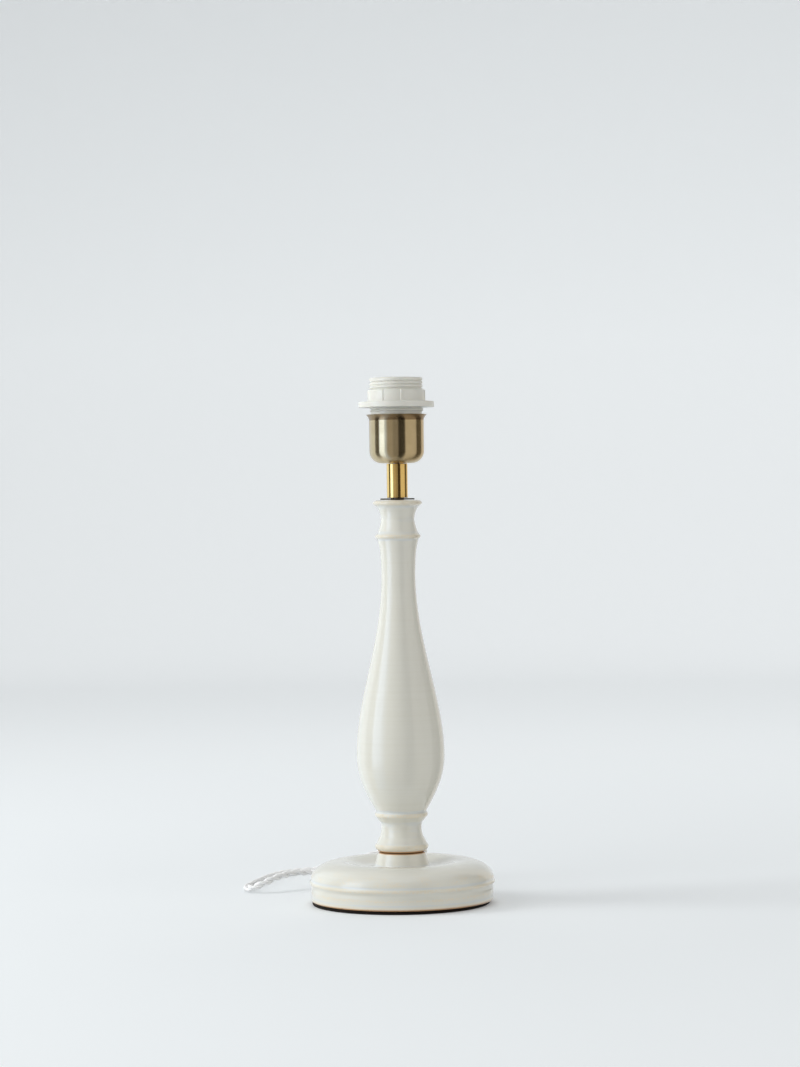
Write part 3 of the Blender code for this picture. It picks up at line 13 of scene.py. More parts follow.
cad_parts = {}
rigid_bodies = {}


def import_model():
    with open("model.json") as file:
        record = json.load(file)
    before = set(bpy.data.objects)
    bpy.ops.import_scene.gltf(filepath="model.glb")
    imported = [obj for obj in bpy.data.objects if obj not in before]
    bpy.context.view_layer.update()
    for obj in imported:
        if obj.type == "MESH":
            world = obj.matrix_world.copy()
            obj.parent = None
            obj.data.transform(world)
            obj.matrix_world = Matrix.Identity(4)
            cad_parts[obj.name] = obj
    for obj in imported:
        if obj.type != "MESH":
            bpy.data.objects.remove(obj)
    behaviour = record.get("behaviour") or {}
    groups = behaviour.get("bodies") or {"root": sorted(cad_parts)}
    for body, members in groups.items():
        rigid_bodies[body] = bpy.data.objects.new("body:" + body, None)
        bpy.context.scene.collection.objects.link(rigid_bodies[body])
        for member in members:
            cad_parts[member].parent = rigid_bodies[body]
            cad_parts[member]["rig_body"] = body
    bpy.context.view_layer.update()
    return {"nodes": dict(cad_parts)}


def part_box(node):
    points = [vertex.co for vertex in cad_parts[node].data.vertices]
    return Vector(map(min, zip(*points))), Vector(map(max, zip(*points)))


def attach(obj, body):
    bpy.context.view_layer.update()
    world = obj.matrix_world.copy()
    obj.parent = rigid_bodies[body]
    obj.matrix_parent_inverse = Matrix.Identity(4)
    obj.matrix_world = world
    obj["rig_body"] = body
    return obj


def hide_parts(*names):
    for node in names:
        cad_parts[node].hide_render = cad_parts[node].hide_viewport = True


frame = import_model()
NODES = frame["nodes"]
MM = 0.001

# Camera: the eye's height, distance and offset from the stem's axis, and in degrees how far
# it looks down and rolls
EYE_HEIGHT = 302.2 * MM
EYE_DISTANCE = 2250 * MM
EYE_OFFSET = 1.6 * MM
LENS = 136.2
PITCH_DOWN = 0.69
ROLL = 0.72

# Cord: sizes, and the route, which repeats the solids' own: from the bush to the switch,
# from the switch to the coil, and from the coil to the plug
STRAND_RADIUS = 1.4 * MM
CORD_RADIUS = 2.7 * MM
STRAND_OFFSET = CORD_RADIUS - STRAND_RADIUS
STRAND_SIDES = 10
TWIST_PITCH = 18 * MM
EXIT_TURN = math.radians(120)
EXIT_HEIGHT = 9.4 * MM
EXIT_DISTANCE = 88.8 * MM
STRAIGHT_END = 5.4 * MM
FLOOR_LAY = 0.0028
LAMP_ROUTE = [
    (-0.0530, 0.0905, 0.0099),
    (-0.0615, 0.0958, 0.0109),
    (-0.0715, 0.0952, 0.0120),
    (-0.0805, 0.0900, 0.0126),
    (-0.0885, 0.0825, 0.0124),
    (-0.0960, 0.0745, 0.0112),
    (-0.1030, 0.0680, 0.0089),
    (-0.1100, 0.0648, 0.0062),
    (-0.1160, 0.0675, 0.0041),
    (-0.1196, 0.0745, 0.0031),
    (-0.1195, 0.0840, FLOOR_LAY),
    (-0.1170, 0.0970, FLOOR_LAY),
    (-0.1135, 0.1120, FLOOR_LAY),
    (-0.1095, 0.1280, FLOOR_LAY),
    (-0.1050, 0.1440, FLOOR_LAY),
    (-0.0990, 0.1590, FLOOR_LAY),
    (-0.0900, 0.1720, FLOOR_LAY),
    (-0.0780, 0.1815, FLOOR_LAY),
    (-0.0630, 0.1875, FLOOR_LAY),
    (-0.0460, 0.1910, FLOOR_LAY),
    (-0.0270, 0.1930, FLOOR_LAY),
    (-0.0080, 0.1935, FLOOR_LAY),
    (0.0110, 0.1915, FLOOR_LAY),
    (0.0280, 0.1855, FLOOR_LAY),
    (0.0410, 0.1750, FLOOR_LAY),
    (0.0490, 0.1610, FLOOR_LAY),
    (0.0530, 0.1450, FLOOR_LAY),
    (0.0545, 0.1280, FLOOR_LAY),
    (0.0545, 0.1120, 0.0032),
    (0.0525, 0.0985, 0.0044),
    (0.0475, 0.0890, 0.0058),
]
SWITCH_ENDS = (0.0353, -0.0233)
SWITCH_AXIS = (0.0850, 0.0063)
COIL_ROUTE = [
    (-0.0350, 0.0878, 0.0054),
    (-0.0400, 0.0940, 0.0047),
    (-0.0418, 0.1020, 0.0042),
    (-0.0404, 0.1120, 0.0040),
    (-0.0383, 0.1220, 0.0039),
]
COIL_CENTRE = (0.0020, 0.1400)
COIL_TURNS = 6
COIL_MEAN_RADIUS = 0.0305
COIL_PITCH = 0.0060
COIL_LOW = 0.0039
COIL_LOOP_POINTS = 24
PLUG_ROUTE = [
    (-0.0372, 0.1570, 0.0105),
    (-0.0340, 0.1690, 0.0122),
    (-0.0262, 0.1790, 0.0145),
    (-0.0150, 0.1838, 0.0172),
    (-0.0050, 0.1812, 0.0192),
]
PLUG_END = (0.0020, 0.1653, 0.02075)


# Curves and meshes


def smooth(knots, steps):
    """A centripetal spline through the knots, with steps points a stretch."""
    points = [Vector(k) for k in knots]
    points = [2 * points[0] - points[1], *points, 2 * points[-1] - points[-2]]
    out = []
    for p0, p1, p2, p3 in zip(points, points[1:], points[2:], points[3:]):
        t0 = 0.0
        t1 = t0 + math.sqrt((p1 - p0).length)
        t2 = t1 + math.sqrt((p2 - p1).length)
        t3 = t2 + math.sqrt((p3 - p2).length)
        for i in range(steps):
            t = t1 + (t2 - t1) * i / steps
            a1 = ((t1 - t) * p0 + (t - t0) * p1) / (t1 - t0)
            a2 = ((t2 - t) * p1 + (t - t1) * p2) / (t2 - t1)
            a3 = ((t3 - t) * p2 + (t - t2) * p3) / (t3 - t2)
            b1 = ((t2 - t) * a1 + (t - t0) * a2) / (t2 - t0)
            b2 = ((t3 - t) * a2 + (t - t1) * a3) / (t3 - t1)
            out.append(tuple(((t2 - t) * b1 + (t - t1) * b2) / (t2 - t1)))
    return out + [tuple(points[-2])]


def evened(points, step):
    """The same line with its points an even step apart."""
    line = np.array(points, float)
    run = np.concatenate([[0], np.cumsum(np.linalg.norm(np.diff(line, axis=0), axis=1))])
    places = np.linspace(0, run[-1], max(2, round(run[-1] / step)) + 1)
    return np.stack([np.interp(places, run, line[:, k]) for k in range(line.shape[1])], 1)


def arc(middle, radii, start, end, steps=12):
    """Points on an elliptic arc, angles in degrees from +radius towards +height."""
    turns = [math.radians(start + (end - start) * i / steps) for i in range(steps + 1)]
    return [
        (middle[0] + radii[0] * math.cos(t), middle[1] + radii[1] * math.sin(t)) for t in turns
    ]


def new_object(name, verts, faces, material, body="lamp", uvs=None):
    mesh = bpy.data.meshes.new(name)
    mesh.from_pydata([tuple(v) for v in verts], [], faces)
    if uvs is not None:
        layer = mesh.uv_layers.new(name="along")
        corners = np.empty(len(mesh.loops), int)
        mesh.loops.foreach_get("vertex_index", corners)
        layer.data.foreach_set("uv", np.asarray(uvs, np.float32)[corners].ravel())
    mesh.shade_smooth()
    obj = bpy.data.objects.new(name, mesh)
    bpy.context.scene.collection.objects.link(obj)
    mesh.materials.append(material)
    if body:
        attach(obj, body)
    return obj


def turned(name, outline, material, steps=144, body="lamp", shape=None, thin=None):
    """A solid of revolution on a closed outline of (radius, height) pairs.  shape moves a
    point by its radius, height and turn; thin gives each outline point a glaze value."""
    rings = len(outline)
    turns = np.linspace(0, 2 * math.pi, steps, endpoint=False)
    verts = []
    for radius, height in outline:
        for turn in turns:
            r, z = shape(radius, height, turn) if shape else (radius, height)
            verts.append((r * math.cos(turn), r * math.sin(turn), z))
    faces = []
    for i in range(rings):
        a, b = i * steps, (i + 1) % rings * steps
        for j in range(steps):
            k = (j + 1) % steps
            faces.append((a + j, b + j, b + k, a + k))
    obj = new_object(name, verts, faces, material, body)
    if thin is not None:
        layer = obj.data.attributes.new("thin", "FLOAT", "POINT")
        layer.data.foreach_set("value", np.repeat(thin, steps).astype(np.float32))
    bm = bmesh.new()
    bm.from_mesh(obj.data)
    bmesh.ops.remove_doubles(bm, verts=bm.verts, dist=0.001 * MM)
    bmesh.ops.recalc_face_normals(bm, faces=bm.faces)
    bm.to_mesh(obj.data)
    bm.free()
    return obj


def sharpen(obj, degrees):
    """Smooth shading with creases kept where faces meet at more than the angle."""
    bm = bmesh.new()
    bm.from_mesh(obj.data)
    limit = math.radians(degrees)
    for edge in bm.edges:
        edge.smooth = len(edge.link_faces) == 2 and edge.calc_face_angle(0) < limit
    bm.to_mesh(obj.data)
    bm.free()


# Materials


class Shader:
    """A Principled material with small helpers to wire its nodes."""

    def __init__(self, name, color, roughness, **sockets):
        self.material = bpy.data.materials.new(name)
        self.material.use_nodes = True
        self.nodes = self.material.node_tree.nodes
        self.links = self.material.node_tree.links
        self.bsdf = self.nodes["Principled BSDF"]
        self.set(Base_Color=(*color, 1), Roughness=roughness, **sockets)

    def set(self, **sockets):
        for key, value in sockets.items():
            self.bsdf.inputs[key.replace("_", " ")].default_value = value

    def node(self, kind, inputs=None, **props):
        node = self.nodes.new(kind)
        for key, value in props.items():
            setattr(node, key, value)
        for key, value in (inputs or {}).items():
            if isinstance(value, bpy.types.NodeSocket):
                self.links.new(value, node.inputs[key])
            else:
                node.inputs[key].default_value = value
        return node

    def place(self, scale=(1, 1, 1)):
        """Object coordinates, stretched along the axes."""
        coords = self.node("ShaderNodeTexCoord").outputs["Object"]
        return self.node("ShaderNodeMapping", {"Vector": coords, "Scale": scale}).outputs[0]

    def noise(self, vector, scale, detail=3.0, roughness=0.5):
        return self.node(
            "ShaderNodeTexNoise",
            {"Vector": vector, "Scale": scale, "Detail": detail, "Roughness": roughness},
        ).outputs["Fac"]

    def span(self, value, low, high, to_low=0.0, to_high=1.0):
        return self.node(
            "ShaderNodeMapRange",
            {0: value, 1: low, 2: high, 3: to_low, 4: to_high},
        ).outputs[0]

    def maths(self, operation, *values):
        return self.node(
            "ShaderNodeMath", dict(enumerate(values)), operation=operation
        ).outputs[0]

    def mix(self, share, low, high, blend="MIX"):
        node = self.node("ShaderNodeMix", data_type="RGBA", blend_type=blend)
        for place, value in ((0, share), (6, low), (7, high)):
            if isinstance(value, bpy.types.NodeSocket):
                self.links.new(value, node.inputs[place])
            elif isinstance(value, tuple):
                node.inputs[place].default_value = (*value, 1)
            else:
                node.inputs[place].default_value = value
        return node.outputs[2]

    def bump(self, height, distance, strength=1.0):
        node = self.node(
            "ShaderNodeBump", {"Height": height, "Distance": distance, "Strength": strength}
        )
        self.links.new(node.outputs[0], self.bsdf.inputs["Normal"])

    def color(self, socket):
        self.links.new(socket, self.bsdf.inputs["Base Color"])

    def rough(self, socket):
        self.links.new(socket, self.bsdf.inputs["Roughness"])


# Glaze colours
CREAM = (0.762, 0.742, 0.66)
CLOUDED_CREAM = (0.735, 0.715, 0.645)
RINGED_CREAM = (0.70, 0.67, 0.565)
THIN_GLAZE = (0.785, 0.71, 0.57)
POOLED_GLAZE = (0.71, 0.72, 0.695)
BARE_CLAY = (0.50, 0.28, 0.13)


def glaze_material():
    """Cream glaze: tan where it runs thin, bluish where it pools, wiped off bare edges."""
    s = Shader(
        "cream_glaze",
        CREAM,
        0.2,
        Specular_IOR_Level=0.3,
        Coat_Weight=0.7,
        Coat_Roughness=0.055,
        Coat_IOR=1.5,
    )
    thin = s.node("ShaderNodeAttribute", attribute_name="thin").outputs["Fac"]
    cloud = s.noise(s.place((1, 1, 0.35)), 55, 4)
    rings = s.noise(s.place((3, 3, 420)), 1.0, 2)
    base = s.mix(s.span(cloud, 0.35, 0.7, 0, 0.6), CREAM, CLOUDED_CREAM)
    base = s.mix(s.span(rings, 0.45, 0.8, 0, 0.35), base, RINGED_CREAM)
    wander = s.span(s.noise(s.place((1, 1, 3)), 60, 4), 0.3, 0.7, -0.16, 0.16)
    freckles = s.span(s.noise(s.place(), 1100, 2), 0.35, 0.65, -0.3, 0.25)
    freckles = s.maths("MULTIPLY", freckles, s.span(thin, 0.6, 0.8))
    level = s.maths("ADD", s.maths("ADD", thin, wander), freckles)
    tan = s.mix(s.span(level, 0.68, 0.95), base, THIN_GLAZE)
    pooled = s.mix(s.span(level, 0.34, 0.1), tan, POOLED_GLAZE)
    s.color(s.mix(s.span(thin, 1.1, 1.5), pooled, BARE_CLAY))
    s.rough(s.span(cloud, 0.3, 0.7, 0.16, 0.26))
    return s.material


# The cup's rim is darkened with painted shade, where the ring's flange shades it: the heights
# between which the painted shade sets in, and its tint
CUP_PAINTED_SHADE = (358.9 * MM, 359.6 * MM)
PAINTED_SHADE_TINT = (0.50, 0.44, 0.40)


def brass_material(name, bright, dark, roughness, brush, painted_shade_heights=None):
    """Lathe-brushed brass: fine lines round the axis, darkened in soft patches, and
    darkened with painted shade above a pair of heights between which the painted shade sets in."""
    s = Shader(name, bright, roughness, Metallic=1.0, Anisotropic=1.0, Anisotropic_Rotation=0.25)
    tangent = s.node("ShaderNodeTangent", direction_type="RADIAL", axis="Z").outputs[0]
    s.links.new(tangent, s.bsdf.inputs["Tangent"])
    lines = s.noise(s.place((12, 12, brush)), 1.0, 5, 0.7)
    patches = s.noise(s.place(), 90, 3)
    shade = s.mix(s.span(patches, 0.35, 0.75, 0, 0.55), bright, dark)
    shade = s.mix(s.span(lines, 0.3, 0.75, 0, 0.3), shade, dark)
    # Painted shade: above the given heights the brass is darkened, as if shaded by the ring's
    # flange over the cup's rim
    if painted_shade_heights:
        height = s.node("ShaderNodeSeparateXYZ", {"Vector": s.place()}).outputs["Z"]
        shaded_brass = s.mix(1.0, shade, PAINTED_SHADE_TINT, "MULTIPLY")
        shade = s.mix(s.span(height, *painted_shade_heights), shade, shaded_brass)
    s.color(shade)
    s.rough(s.span(lines, 0.3, 0.7, roughness - 0.01, roughness + 0.02))
    return s.material


def plastic_material():
    color = (0.78, 0.765, 0.70)
    s = Shader("cream_plastic", color, 0.3, Specular_IOR_Level=0.45)
    s.set(Subsurface_Weight=0.12, Subsurface_Radius=(0.004, 0.003, 0.002), Subsurface_Scale=0.5)
    grain = s.noise(s.place(), 1400, 2)
    cloud = s.noise(s.place(), 60, 3)
    s.color(s.mix(s.span(cloud, 0.35, 0.7), color, tuple(c * 0.965 for c in color)))
    s.rough(s.span(grain, 0.3, 0.7, 0.28, 0.34))
    s.bump(grain, 0.02 * MM, 0.12)
    return s.material


def felt_material():
    s = Shader("dark_felt", (0.012, 0.009, 0.007), 0.95, Sheen_Weight=0.04, Specular_IOR_Level=0.1)
    fibres = s.noise(s.place(), 1600, 4, 0.7)
    s.color(s.mix(s.span(fibres, 0.3, 0.75), (0.008, 0.006, 0.005), (0.024, 0.018, 0.014)))
    s.bump(fibres, 0.3 * MM, 0.7)
    return s.material


def metal_material(name, color, roughness):
    s = Shader(name, color, roughness, Metallic=1.0)
    lines = s.noise(s.place((2400, 2400, 400)), 1.0, 3)
    s.color(s.mix(s.span(lines, 0.3, 0.7), color, tuple(c * 0.93 for c in color)))
    s.rough(s.span(lines, 0.3, 0.7, roughness - 0.01, roughness + 0.02))
    return s.material


def matt_material(name, color, roughness=0.7, grain=900, gloss=0.2):
    s = Shader(name, color, roughness, Specular_IOR_Level=gloss)
    speck = s.noise(s.place(), grain, 3)
    s.color(s.mix(s.span(speck, 0.3, 0.7), color, tuple(c * 0.82 for c in color)))
    s.bump(speck, 0.05 * MM, 0.5)
    return s.material


def textile_material():
    """A braided sleeve: a diagonal weave that follows the strand's own length."""
    s = Shader("white_textile", (0.97, 0.96, 0.955), 0.85, Sheen_Weight=0.3, Specular_IOR_Level=0.2)
    along = s.node("ShaderNodeUVMap", uv_map="along").outputs[0]
    waves = []
    for turn in (1, -1):
        tilted = s.node(
            "ShaderNodeMapping", {"Vector": along, "Rotation": (0, 0, turn * math.radians(45))}
        ).outputs[0]
        wave = s.node(
            "ShaderNodeTexWave", {"Vector": tilted, "Scale": 3.2, "Distortion": 0.6}
        ).outputs["Fac"]
        waves.append(wave)
    weave = s.maths("MAXIMUM", *waves)
    fuzz = s.noise(s.place(), 2600, 3)
    shade = s.mix(s.span(weave, 0.3, 0.9), (0.955, 0.945, 0.935), (0.985, 0.975, 0.97))
    s.color(s.mix(s.span(fuzz, 0.4, 0.8, 0, 0.3), shade, (0.96, 0.95, 0.94)))
    s.bump(s.maths("ADD", weave, s.maths("MULTIPLY", fuzz, 0.4)), 0.16 * MM, 0.2)
    return s.material


GLAZE = glaze_material()
# The cup's brass gets painted shade on its rim, under the ring's flange
CUP_BRASS = brass_material(
    "antique_brass", (0.60, 0.485, 0.30), (0.46, 0.355, 0.20), 0.25, 2600, CUP_PAINTED_SHADE
)
TUBE_BRASS = brass_material("bright_brass", (0.92, 0.65, 0.25), (0.76, 0.50, 0.165), 0.19, 2200)
PLASTIC = plastic_material()
FELT = felt_material()
STEEL = metal_material("zinc_steel", (0.56, 0.56, 0.57), 0.32)
NICKEL = metal_material("nickel", (0.68, 0.66, 0.62), 0.24)
DARK_WASHER = matt_material("dark_washer", (0.05, 0.038, 0.026), 0.8, 900, 0.0)
RUBBER = matt_material("black_rubber", (0.02, 0.02, 0.021), 0.6)
SEAM = matt_material("brown_seam", (0.26, 0.145, 0.065), 0.8)
BLOCK = matt_material("white_block", (0.72, 0.71, 0.67), 0.6)
TEXTILE = textile_material()

NODE_MATERIALS = {
    "foot_pad": FELT,
    "cord_bush": RUBBER,
    "bush_nut": RUBBER,
    "seam_gasket": SEAM,
    "threaded_tube": STEEL,
    "foot_washer": STEEL,
    "lock_washer": STEEL,
    "foot_nut": STEEL,
    "top_washer": DARK_WASHER,
    "neck_tube": TUBE_BRASS,
    "cup": CUP_BRASS,
    "cup_nut": STEEL,
    "holder_cap": PLASTIC,
    "contact_block": BLOCK,
    "screw_shell": NICKEL,
    "centre_contact": TUBE_BRASS,
    "terminal_screw_1": TUBE_BRASS,
    "terminal_screw_2": TUBE_BRASS,
    "lead_live": TEXTILE,
    "lead_neutral": TEXTILE,
    "inner_cord": TEXTILE,
    "switch_lower": PLASTIC,
    "switch_upper": PLASTIC,
    "switch_rocker": PLASTIC,
    "switch_contact_1": TUBE_BRASS,
    "switch_contact_2": TUBE_BRASS,
    "coil_tie": PLASTIC,
    "plug_body": PLASTIC,
    "plug_pin_1": NICKEL,
    "plug_pin_2": NICKEL,
    "foot": GLAZE,
    "stem": GLAZE,
    "holder_barrel": PLASTIC,
    "shade_ring": PLASTIC,
}


def dress_nodes():
    """Materials for the solids, also for those that a finer piece replaces."""
    for name, material in NODE_MATERIALS.items():
        mesh = NODES[name].data
        mesh.materials.clear()
        mesh.materials.append(material)


# Cord


def exit_point(distance):
    return (distance * math.cos(EXIT_TURN), distance * math.sin(EXIT_TURN), EXIT_HEIGHT)


def coil_point(turns):
    """The coil winds in on the lower layer, climbs, and winds out on the upper one."""
    half = COIL_TURNS / 2
    step = min(max(2 * (turns - half) + 0.5, 0), 1)
    turn = math.pi - 2 * math.pi * turns
    radius = COIL_MEAN_RADIUS + COIL_PITCH * (abs(turns - half) - half / 2)
    x = COIL_CENTRE[0] + radius * math.cos(turn)
    y = COIL_CENTRE[1] + radius * math.sin(turn)
    return (x, y, COIL_LOW + COIL_PITCH * step * step * (3 - 2 * step))


def cord_path():
    """The whole cord's centreline, from the bush through the switch and coil to the plug."""
    right, left = SWITCH_ENDS
    y, z = SWITCH_AXIS
    count = COIL_TURNS * COIL_LOOP_POINTS
    knots = [
        exit_point(EXIT_DISTANCE),
        exit_point(EXIT_DISTANCE + STRAIGHT_END),
        *LAMP_ROUTE,
        (right + STRAIGHT_END, y, z),
        (right, y, z),
        ((right + left) / 2, y, z),
        (left, y, z),
        (left - STRAIGHT_END, y, z),
        *COIL_ROUTE,
        *[coil_point(i / COIL_LOOP_POINTS) for i in range(count + 1)],
        *PLUG_ROUTE,
        (PLUG_END[0], PLUG_END[1] + STRAIGHT_END, PLUG_END[2]),
        PLUG_END,
    ]
    return evened(smooth(knots, 8), 1.5 * MM)


def frames_along(path):
    """Unit vectors across the path that turn with it and no more."""
    tangents = np.gradient(path, axis=0)
    tangents /= np.linalg.norm(tangents, axis=1)[:, None]
    across = np.zeros_like(path)
    first = np.cross(tangents[0], (0, 0, 1))
    across[0] = first / np.linalg.norm(first)
    for i in range(1, len(path)):
        v = across[i - 1] - tangents[i] * np.dot(across[i - 1], tangents[i])
        across[i] = v / np.linalg.norm(v)
    return tangents, across, np.cross(tangents, across)


def make_cord():
    """Two strands twisted round the path, fused in one piece."""
    path = cord_path()
    run = np.concatenate([[0], np.cumsum(np.linalg.norm(np.diff(path, axis=0), axis=1))])
    tangents, side, up = frames_along(path)
    sides = STRAND_SIDES
    verts, faces, uvs = [], [], []
    for strand in range(2):
        turn = 2 * math.pi * run / TWIST_PITCH + math.pi * strand
        out = side * np.cos(turn)[:, None] + up * np.sin(turn)[:, None]
        centre = path + out * STRAND_OFFSET
        lean = 2 * math.pi * STRAND_OFFSET / TWIST_PITCH
        swirl = np.cross(tangents, out)
        heading = tangents + swirl * lean
        heading /= np.linalg.norm(heading, axis=1)[:, None]
        other = np.cross(heading, out)
        base = len(verts)
        for i in range(len(path)):
            for j in range(sides):
                angle = 2 * math.pi * j / sides
                offset = out[i] * math.cos(angle) + other[i] * math.sin(angle)
                verts.append(centre[i] + offset * STRAND_RADIUS)
                uvs.append((run[i] / STRAND_RADIUS / 2, j / sides * math.pi))
        for i in range(len(path) - 1):
            a, b = base + i * sides, base + (i + 1) * sides
            for j in range(sides):
                k = (j + 1) % sides
                faces.append((a + j, a + k, b + k, b + j))
        faces.append(tuple(base + j for j in range(sides))[::-1])
        end = base + (len(path) - 1) * sides
        faces.append(tuple(end + j for j in range(sides)))
    cord = new_object("flex", verts, faces, TEXTILE, "lamp", uvs)
    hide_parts("cord_to_switch", "cord_to_coil", "cord_coil", "cord_to_plug")


# Glazed pieces: how far the glaze evens out and creeps along a side, and the side's step
GLAZE_REACH = 1.1 * MM
GLAZE_CREEP = 4.5 * MM
OUTLINE_STEP = 0.6 * MM

# The inner sides, which stay plain
INNER_LIMIT = 11 * MM
TUBE_HOLE = 5.6 * MM


def glaze_level(outline):
    """How thin the glaze lies along a side: over a half on ridges, under it in hollows."""
    line = np.array(outline, float)
    step = np.diff(line, axis=0)
    length = np.linalg.norm(step, axis=1)
    heading = np.unwrap(np.arctan2(step[:, 1], step[:, 0]))
    bend = np.zeros(len(line))
    bend[1:-1] = np.diff(heading) / (length[1:] + length[:-1]) * 2
    run = np.concatenate([[0], np.cumsum(length)])
    soft = np.zeros(len(line))
    for i, place in enumerate(run):
        weight = np.exp(-(((run - place) / GLAZE_REACH) ** 2))
        soft[i] = (bend * weight).sum() / weight.sum()
    return 0.5 + 0.5 * np.tanh(soft * GLAZE_CREEP)


def glazed(name, outer, inner, nodes, shape, steps, streaks, bare):
    """A glazed piece on a fine outer side, listed upwards, and a plain inner side. The
    streaks run round it at a height, with a half width and a change of thinness, and its
    clay is bare between the pairs of heights in the last list."""
    side = evened(outer, OUTLINE_STEP)
    level = glaze_level(side)
    for height, width, change in streaks:
        level += change * np.exp(-(((side[:, 1] - height) / width) ** 2))
    for low, high in bare:
        level[(side[:, 1] > low) & (side[:, 1] < high)] = 2.0
    thin = np.concatenate([level, np.full(len(inner), 0.5)])
    outline = [tuple(point) for point in side] + inner
    obj = turned(name, outline, GLAZE, steps, shape=shape, thin=thin)
    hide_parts(*nodes)
    sharpen(obj, 60)


def hand_turned(depth):
    """Faint throwing rings and a hair's breadth out of round."""

    def shape(radius, height, turn):
        if radius < INNER_LIMIT:
            return radius, height
        z = height / MM
        rings = 0.5 * math.sin(z * 0.83 + 0.6 * math.sin(turn)) + 0.3 * math.sin(z * 1.9 + turn)
        oval = math.cos(2 * turn + z * 0.011) + 0.5 * math.cos(3 * turn - z * 0.02)
        return radius + depth * (0.35 * rings + 0.65 * oval) * 0.5, height

    return shape


# Stem, from the seam up: radii and heights of its turned features. Its lower lip hides a
# little of the seam.
STEM_LOW = 39.8 * MM
STEM_TOP = 300.0 * MM
SEAM_LIP = 0.5 * MM
RING = (19.9 * MM, 42.8 * MM, 2.8 * MM)
WAIST = (14.9 * MM, 55.3 * MM)
BEAD = (19.8 * MM, 66.5 * MM, 2.8 * MM)
NOTCH = (19.1 * MM, 69.8 * MM)
BULB = (32.8 * MM, 111.9 * MM)
NECK = (12.7 * MM, 245.7 * MM)
TOP_BEAD = (17.1 * MM, 273.2 * MM)
THROAT = (12.5 * MM, 285.8 * MM)
LIP = (18.4 * MM, 297.6 * MM)
BULB_UPPER = 0.92
BULB_LOWER = 1.12
BULB_STEPS = 40


def bulb_side(wide, narrow, power, upwards):
    """Points from the bulb's widest place to a narrow one, above it or below."""
    points = []
    for i in range(1, BULB_STEPS):
        t = i / BULB_STEPS
        if upwards:
            share = (1 + math.cos(math.pi * t**power)) / 2
        else:
            share = math.cos(math.pi / 2 * t**power)
        radius = narrow[0] + (wide[0] - narrow[0]) * share
        points.append((radius, wide[1] + (narrow[1] - wide[1]) * t))
    return points


def stem_side():
    r, z, d = RING
    low = STEM_LOW - SEAM_LIP
    side = [(16.9 * MM, STEM_LOW), (17.3 * MM, low), (17.9 * MM, low + 0.1 * MM)]
    side += arc((r - d, z), (d, d), -70, 55)
    side += smooth(
        [
            (17.6 * MM, 47.4 * MM),
            (15.9 * MM, 50.7 * MM),
            WAIST,
            (15.4 * MM, 60.1 * MM),
            (17.3 * MM, 62.7 * MM),
        ],
        10,
    )
    r, z, d = BEAD
    side += arc((r - d, z), (d, d * 0.9), -50, 58)
    side += [(18.95 * MM, 69.3 * MM), NOTCH]
    side += bulb_side(BULB, NOTCH, BULB_LOWER, False)[::-1] + [BULB]
    side += bulb_side(BULB, NECK, BULB_UPPER, True)
    side += smooth(
        [NECK, (13.2 * MM, 257.9 * MM), (14.0 * MM, 264.6 * MM), (15.2 * MM, 270.0 * MM)], 10
    )
    side += smooth(
        [
            (15.5 * MM, 270.9 * MM),
            (16.6 * MM, 272.1 * MM),
            TOP_BEAD,
            (16.3 * MM, 274.4 * MM),
            (15.2 * MM, 275.8 * MM),
            (13.2 * MM, 281.6 * MM),
            THROAT,
            (13.1 * MM, 289.8 * MM),
            (15.5 * MM, 294.9 * MM),
            (17.6 * MM, 296.6 * MM),
            LIP,
            (17.8 * MM, 298.9 * MM),
            (16.0 * MM, STEM_TOP),
        ],
        8,
    )
    return side


def make_stem():
    inner = [
        (12.0 * MM, STEM_TOP),
        (TUBE_HOLE, STEM_TOP),
        (TUBE_HOLE, STEM_LOW),
        (12.0 * MM, STEM_LOW),
    ]
    shape = hand_turned(0.14 * MM)
    bare = [(0, STEM_LOW + 0.5 * MM)]
    glazed("glazed_stem", stem_side(), inner, ["stem"], shape, 160, [], bare)


# Foot: the band and rib at its edge, the shoulder, the dish and the collar
FOOT_LOW = 2.5 * MM
BAND = (67.7 * MM, 12.3 * MM)
RIB = (69.0 * MM, 16.7 * MM)
HOLLOW = (68.0 * MM, 19.0 * MM)
CREST = (46.5 * MM, 32.2 * MM)
DISH = (24.5 * MM, 27.5 * MM)
DISH_FULLNESS = 1.6
DISH_STEPS = 100
SHOULDER_STEPS = 150
COLLAR_TOP = 38.4 * MM
RECESS = (58.0 * MM, 21.5 * MM)


def foot_side():
    side = [
        (65.2 * MM, FOOT_LOW),
        *arc((66.3 * MM, FOOT_LOW + 1.2 * MM), (1.4 * MM, 1.2 * MM), -90, 0, 6),
        (BAND[0], BAND[1] - 1.2 * MM),
        (BAND[0] - 0.1 * MM, BAND[1] - 0.4 * MM),
        (67.6 * MM, 12.9 * MM),
        (67.75 * MM, 13.8 * MM),
        (68.2 * MM, 14.8 * MM),
        (68.8 * MM, 15.8 * MM),
        RIB,
        (68.8 * MM, 17.5 * MM),
        (68.25 * MM, 18.2 * MM),
    ]
    shoulder = (HOLLOW[0] - CREST[0], CREST[1] - HOLLOW[1])
    side += arc((CREST[0], HOLLOW[1]), shoulder, 0, 90, SHOULDER_STEPS)
    for i in range(1, DISH_STEPS + 1):
        t = 1 - i / DISH_STEPS
        rise = math.sin(math.pi / 2 * t) ** DISH_FULLNESS
        side.append((DISH[0] + (CREST[0] - DISH[0]) * t, DISH[1] + (CREST[1] - DISH[1]) * rise))
    side += smooth(
        [
            (22.6 * MM, 27.55 * MM),
            (20.9 * MM, 28.2 * MM),
            (20.0 * MM, 29.8 * MM),
            (18.4 * MM, 35.2 * MM),
            (17.6 * MM, 37.8 * MM),
            (17.3 * MM, 38.25 * MM),
            (16.9 * MM, COLLAR_TOP),
        ],
        8,
    )
    return side


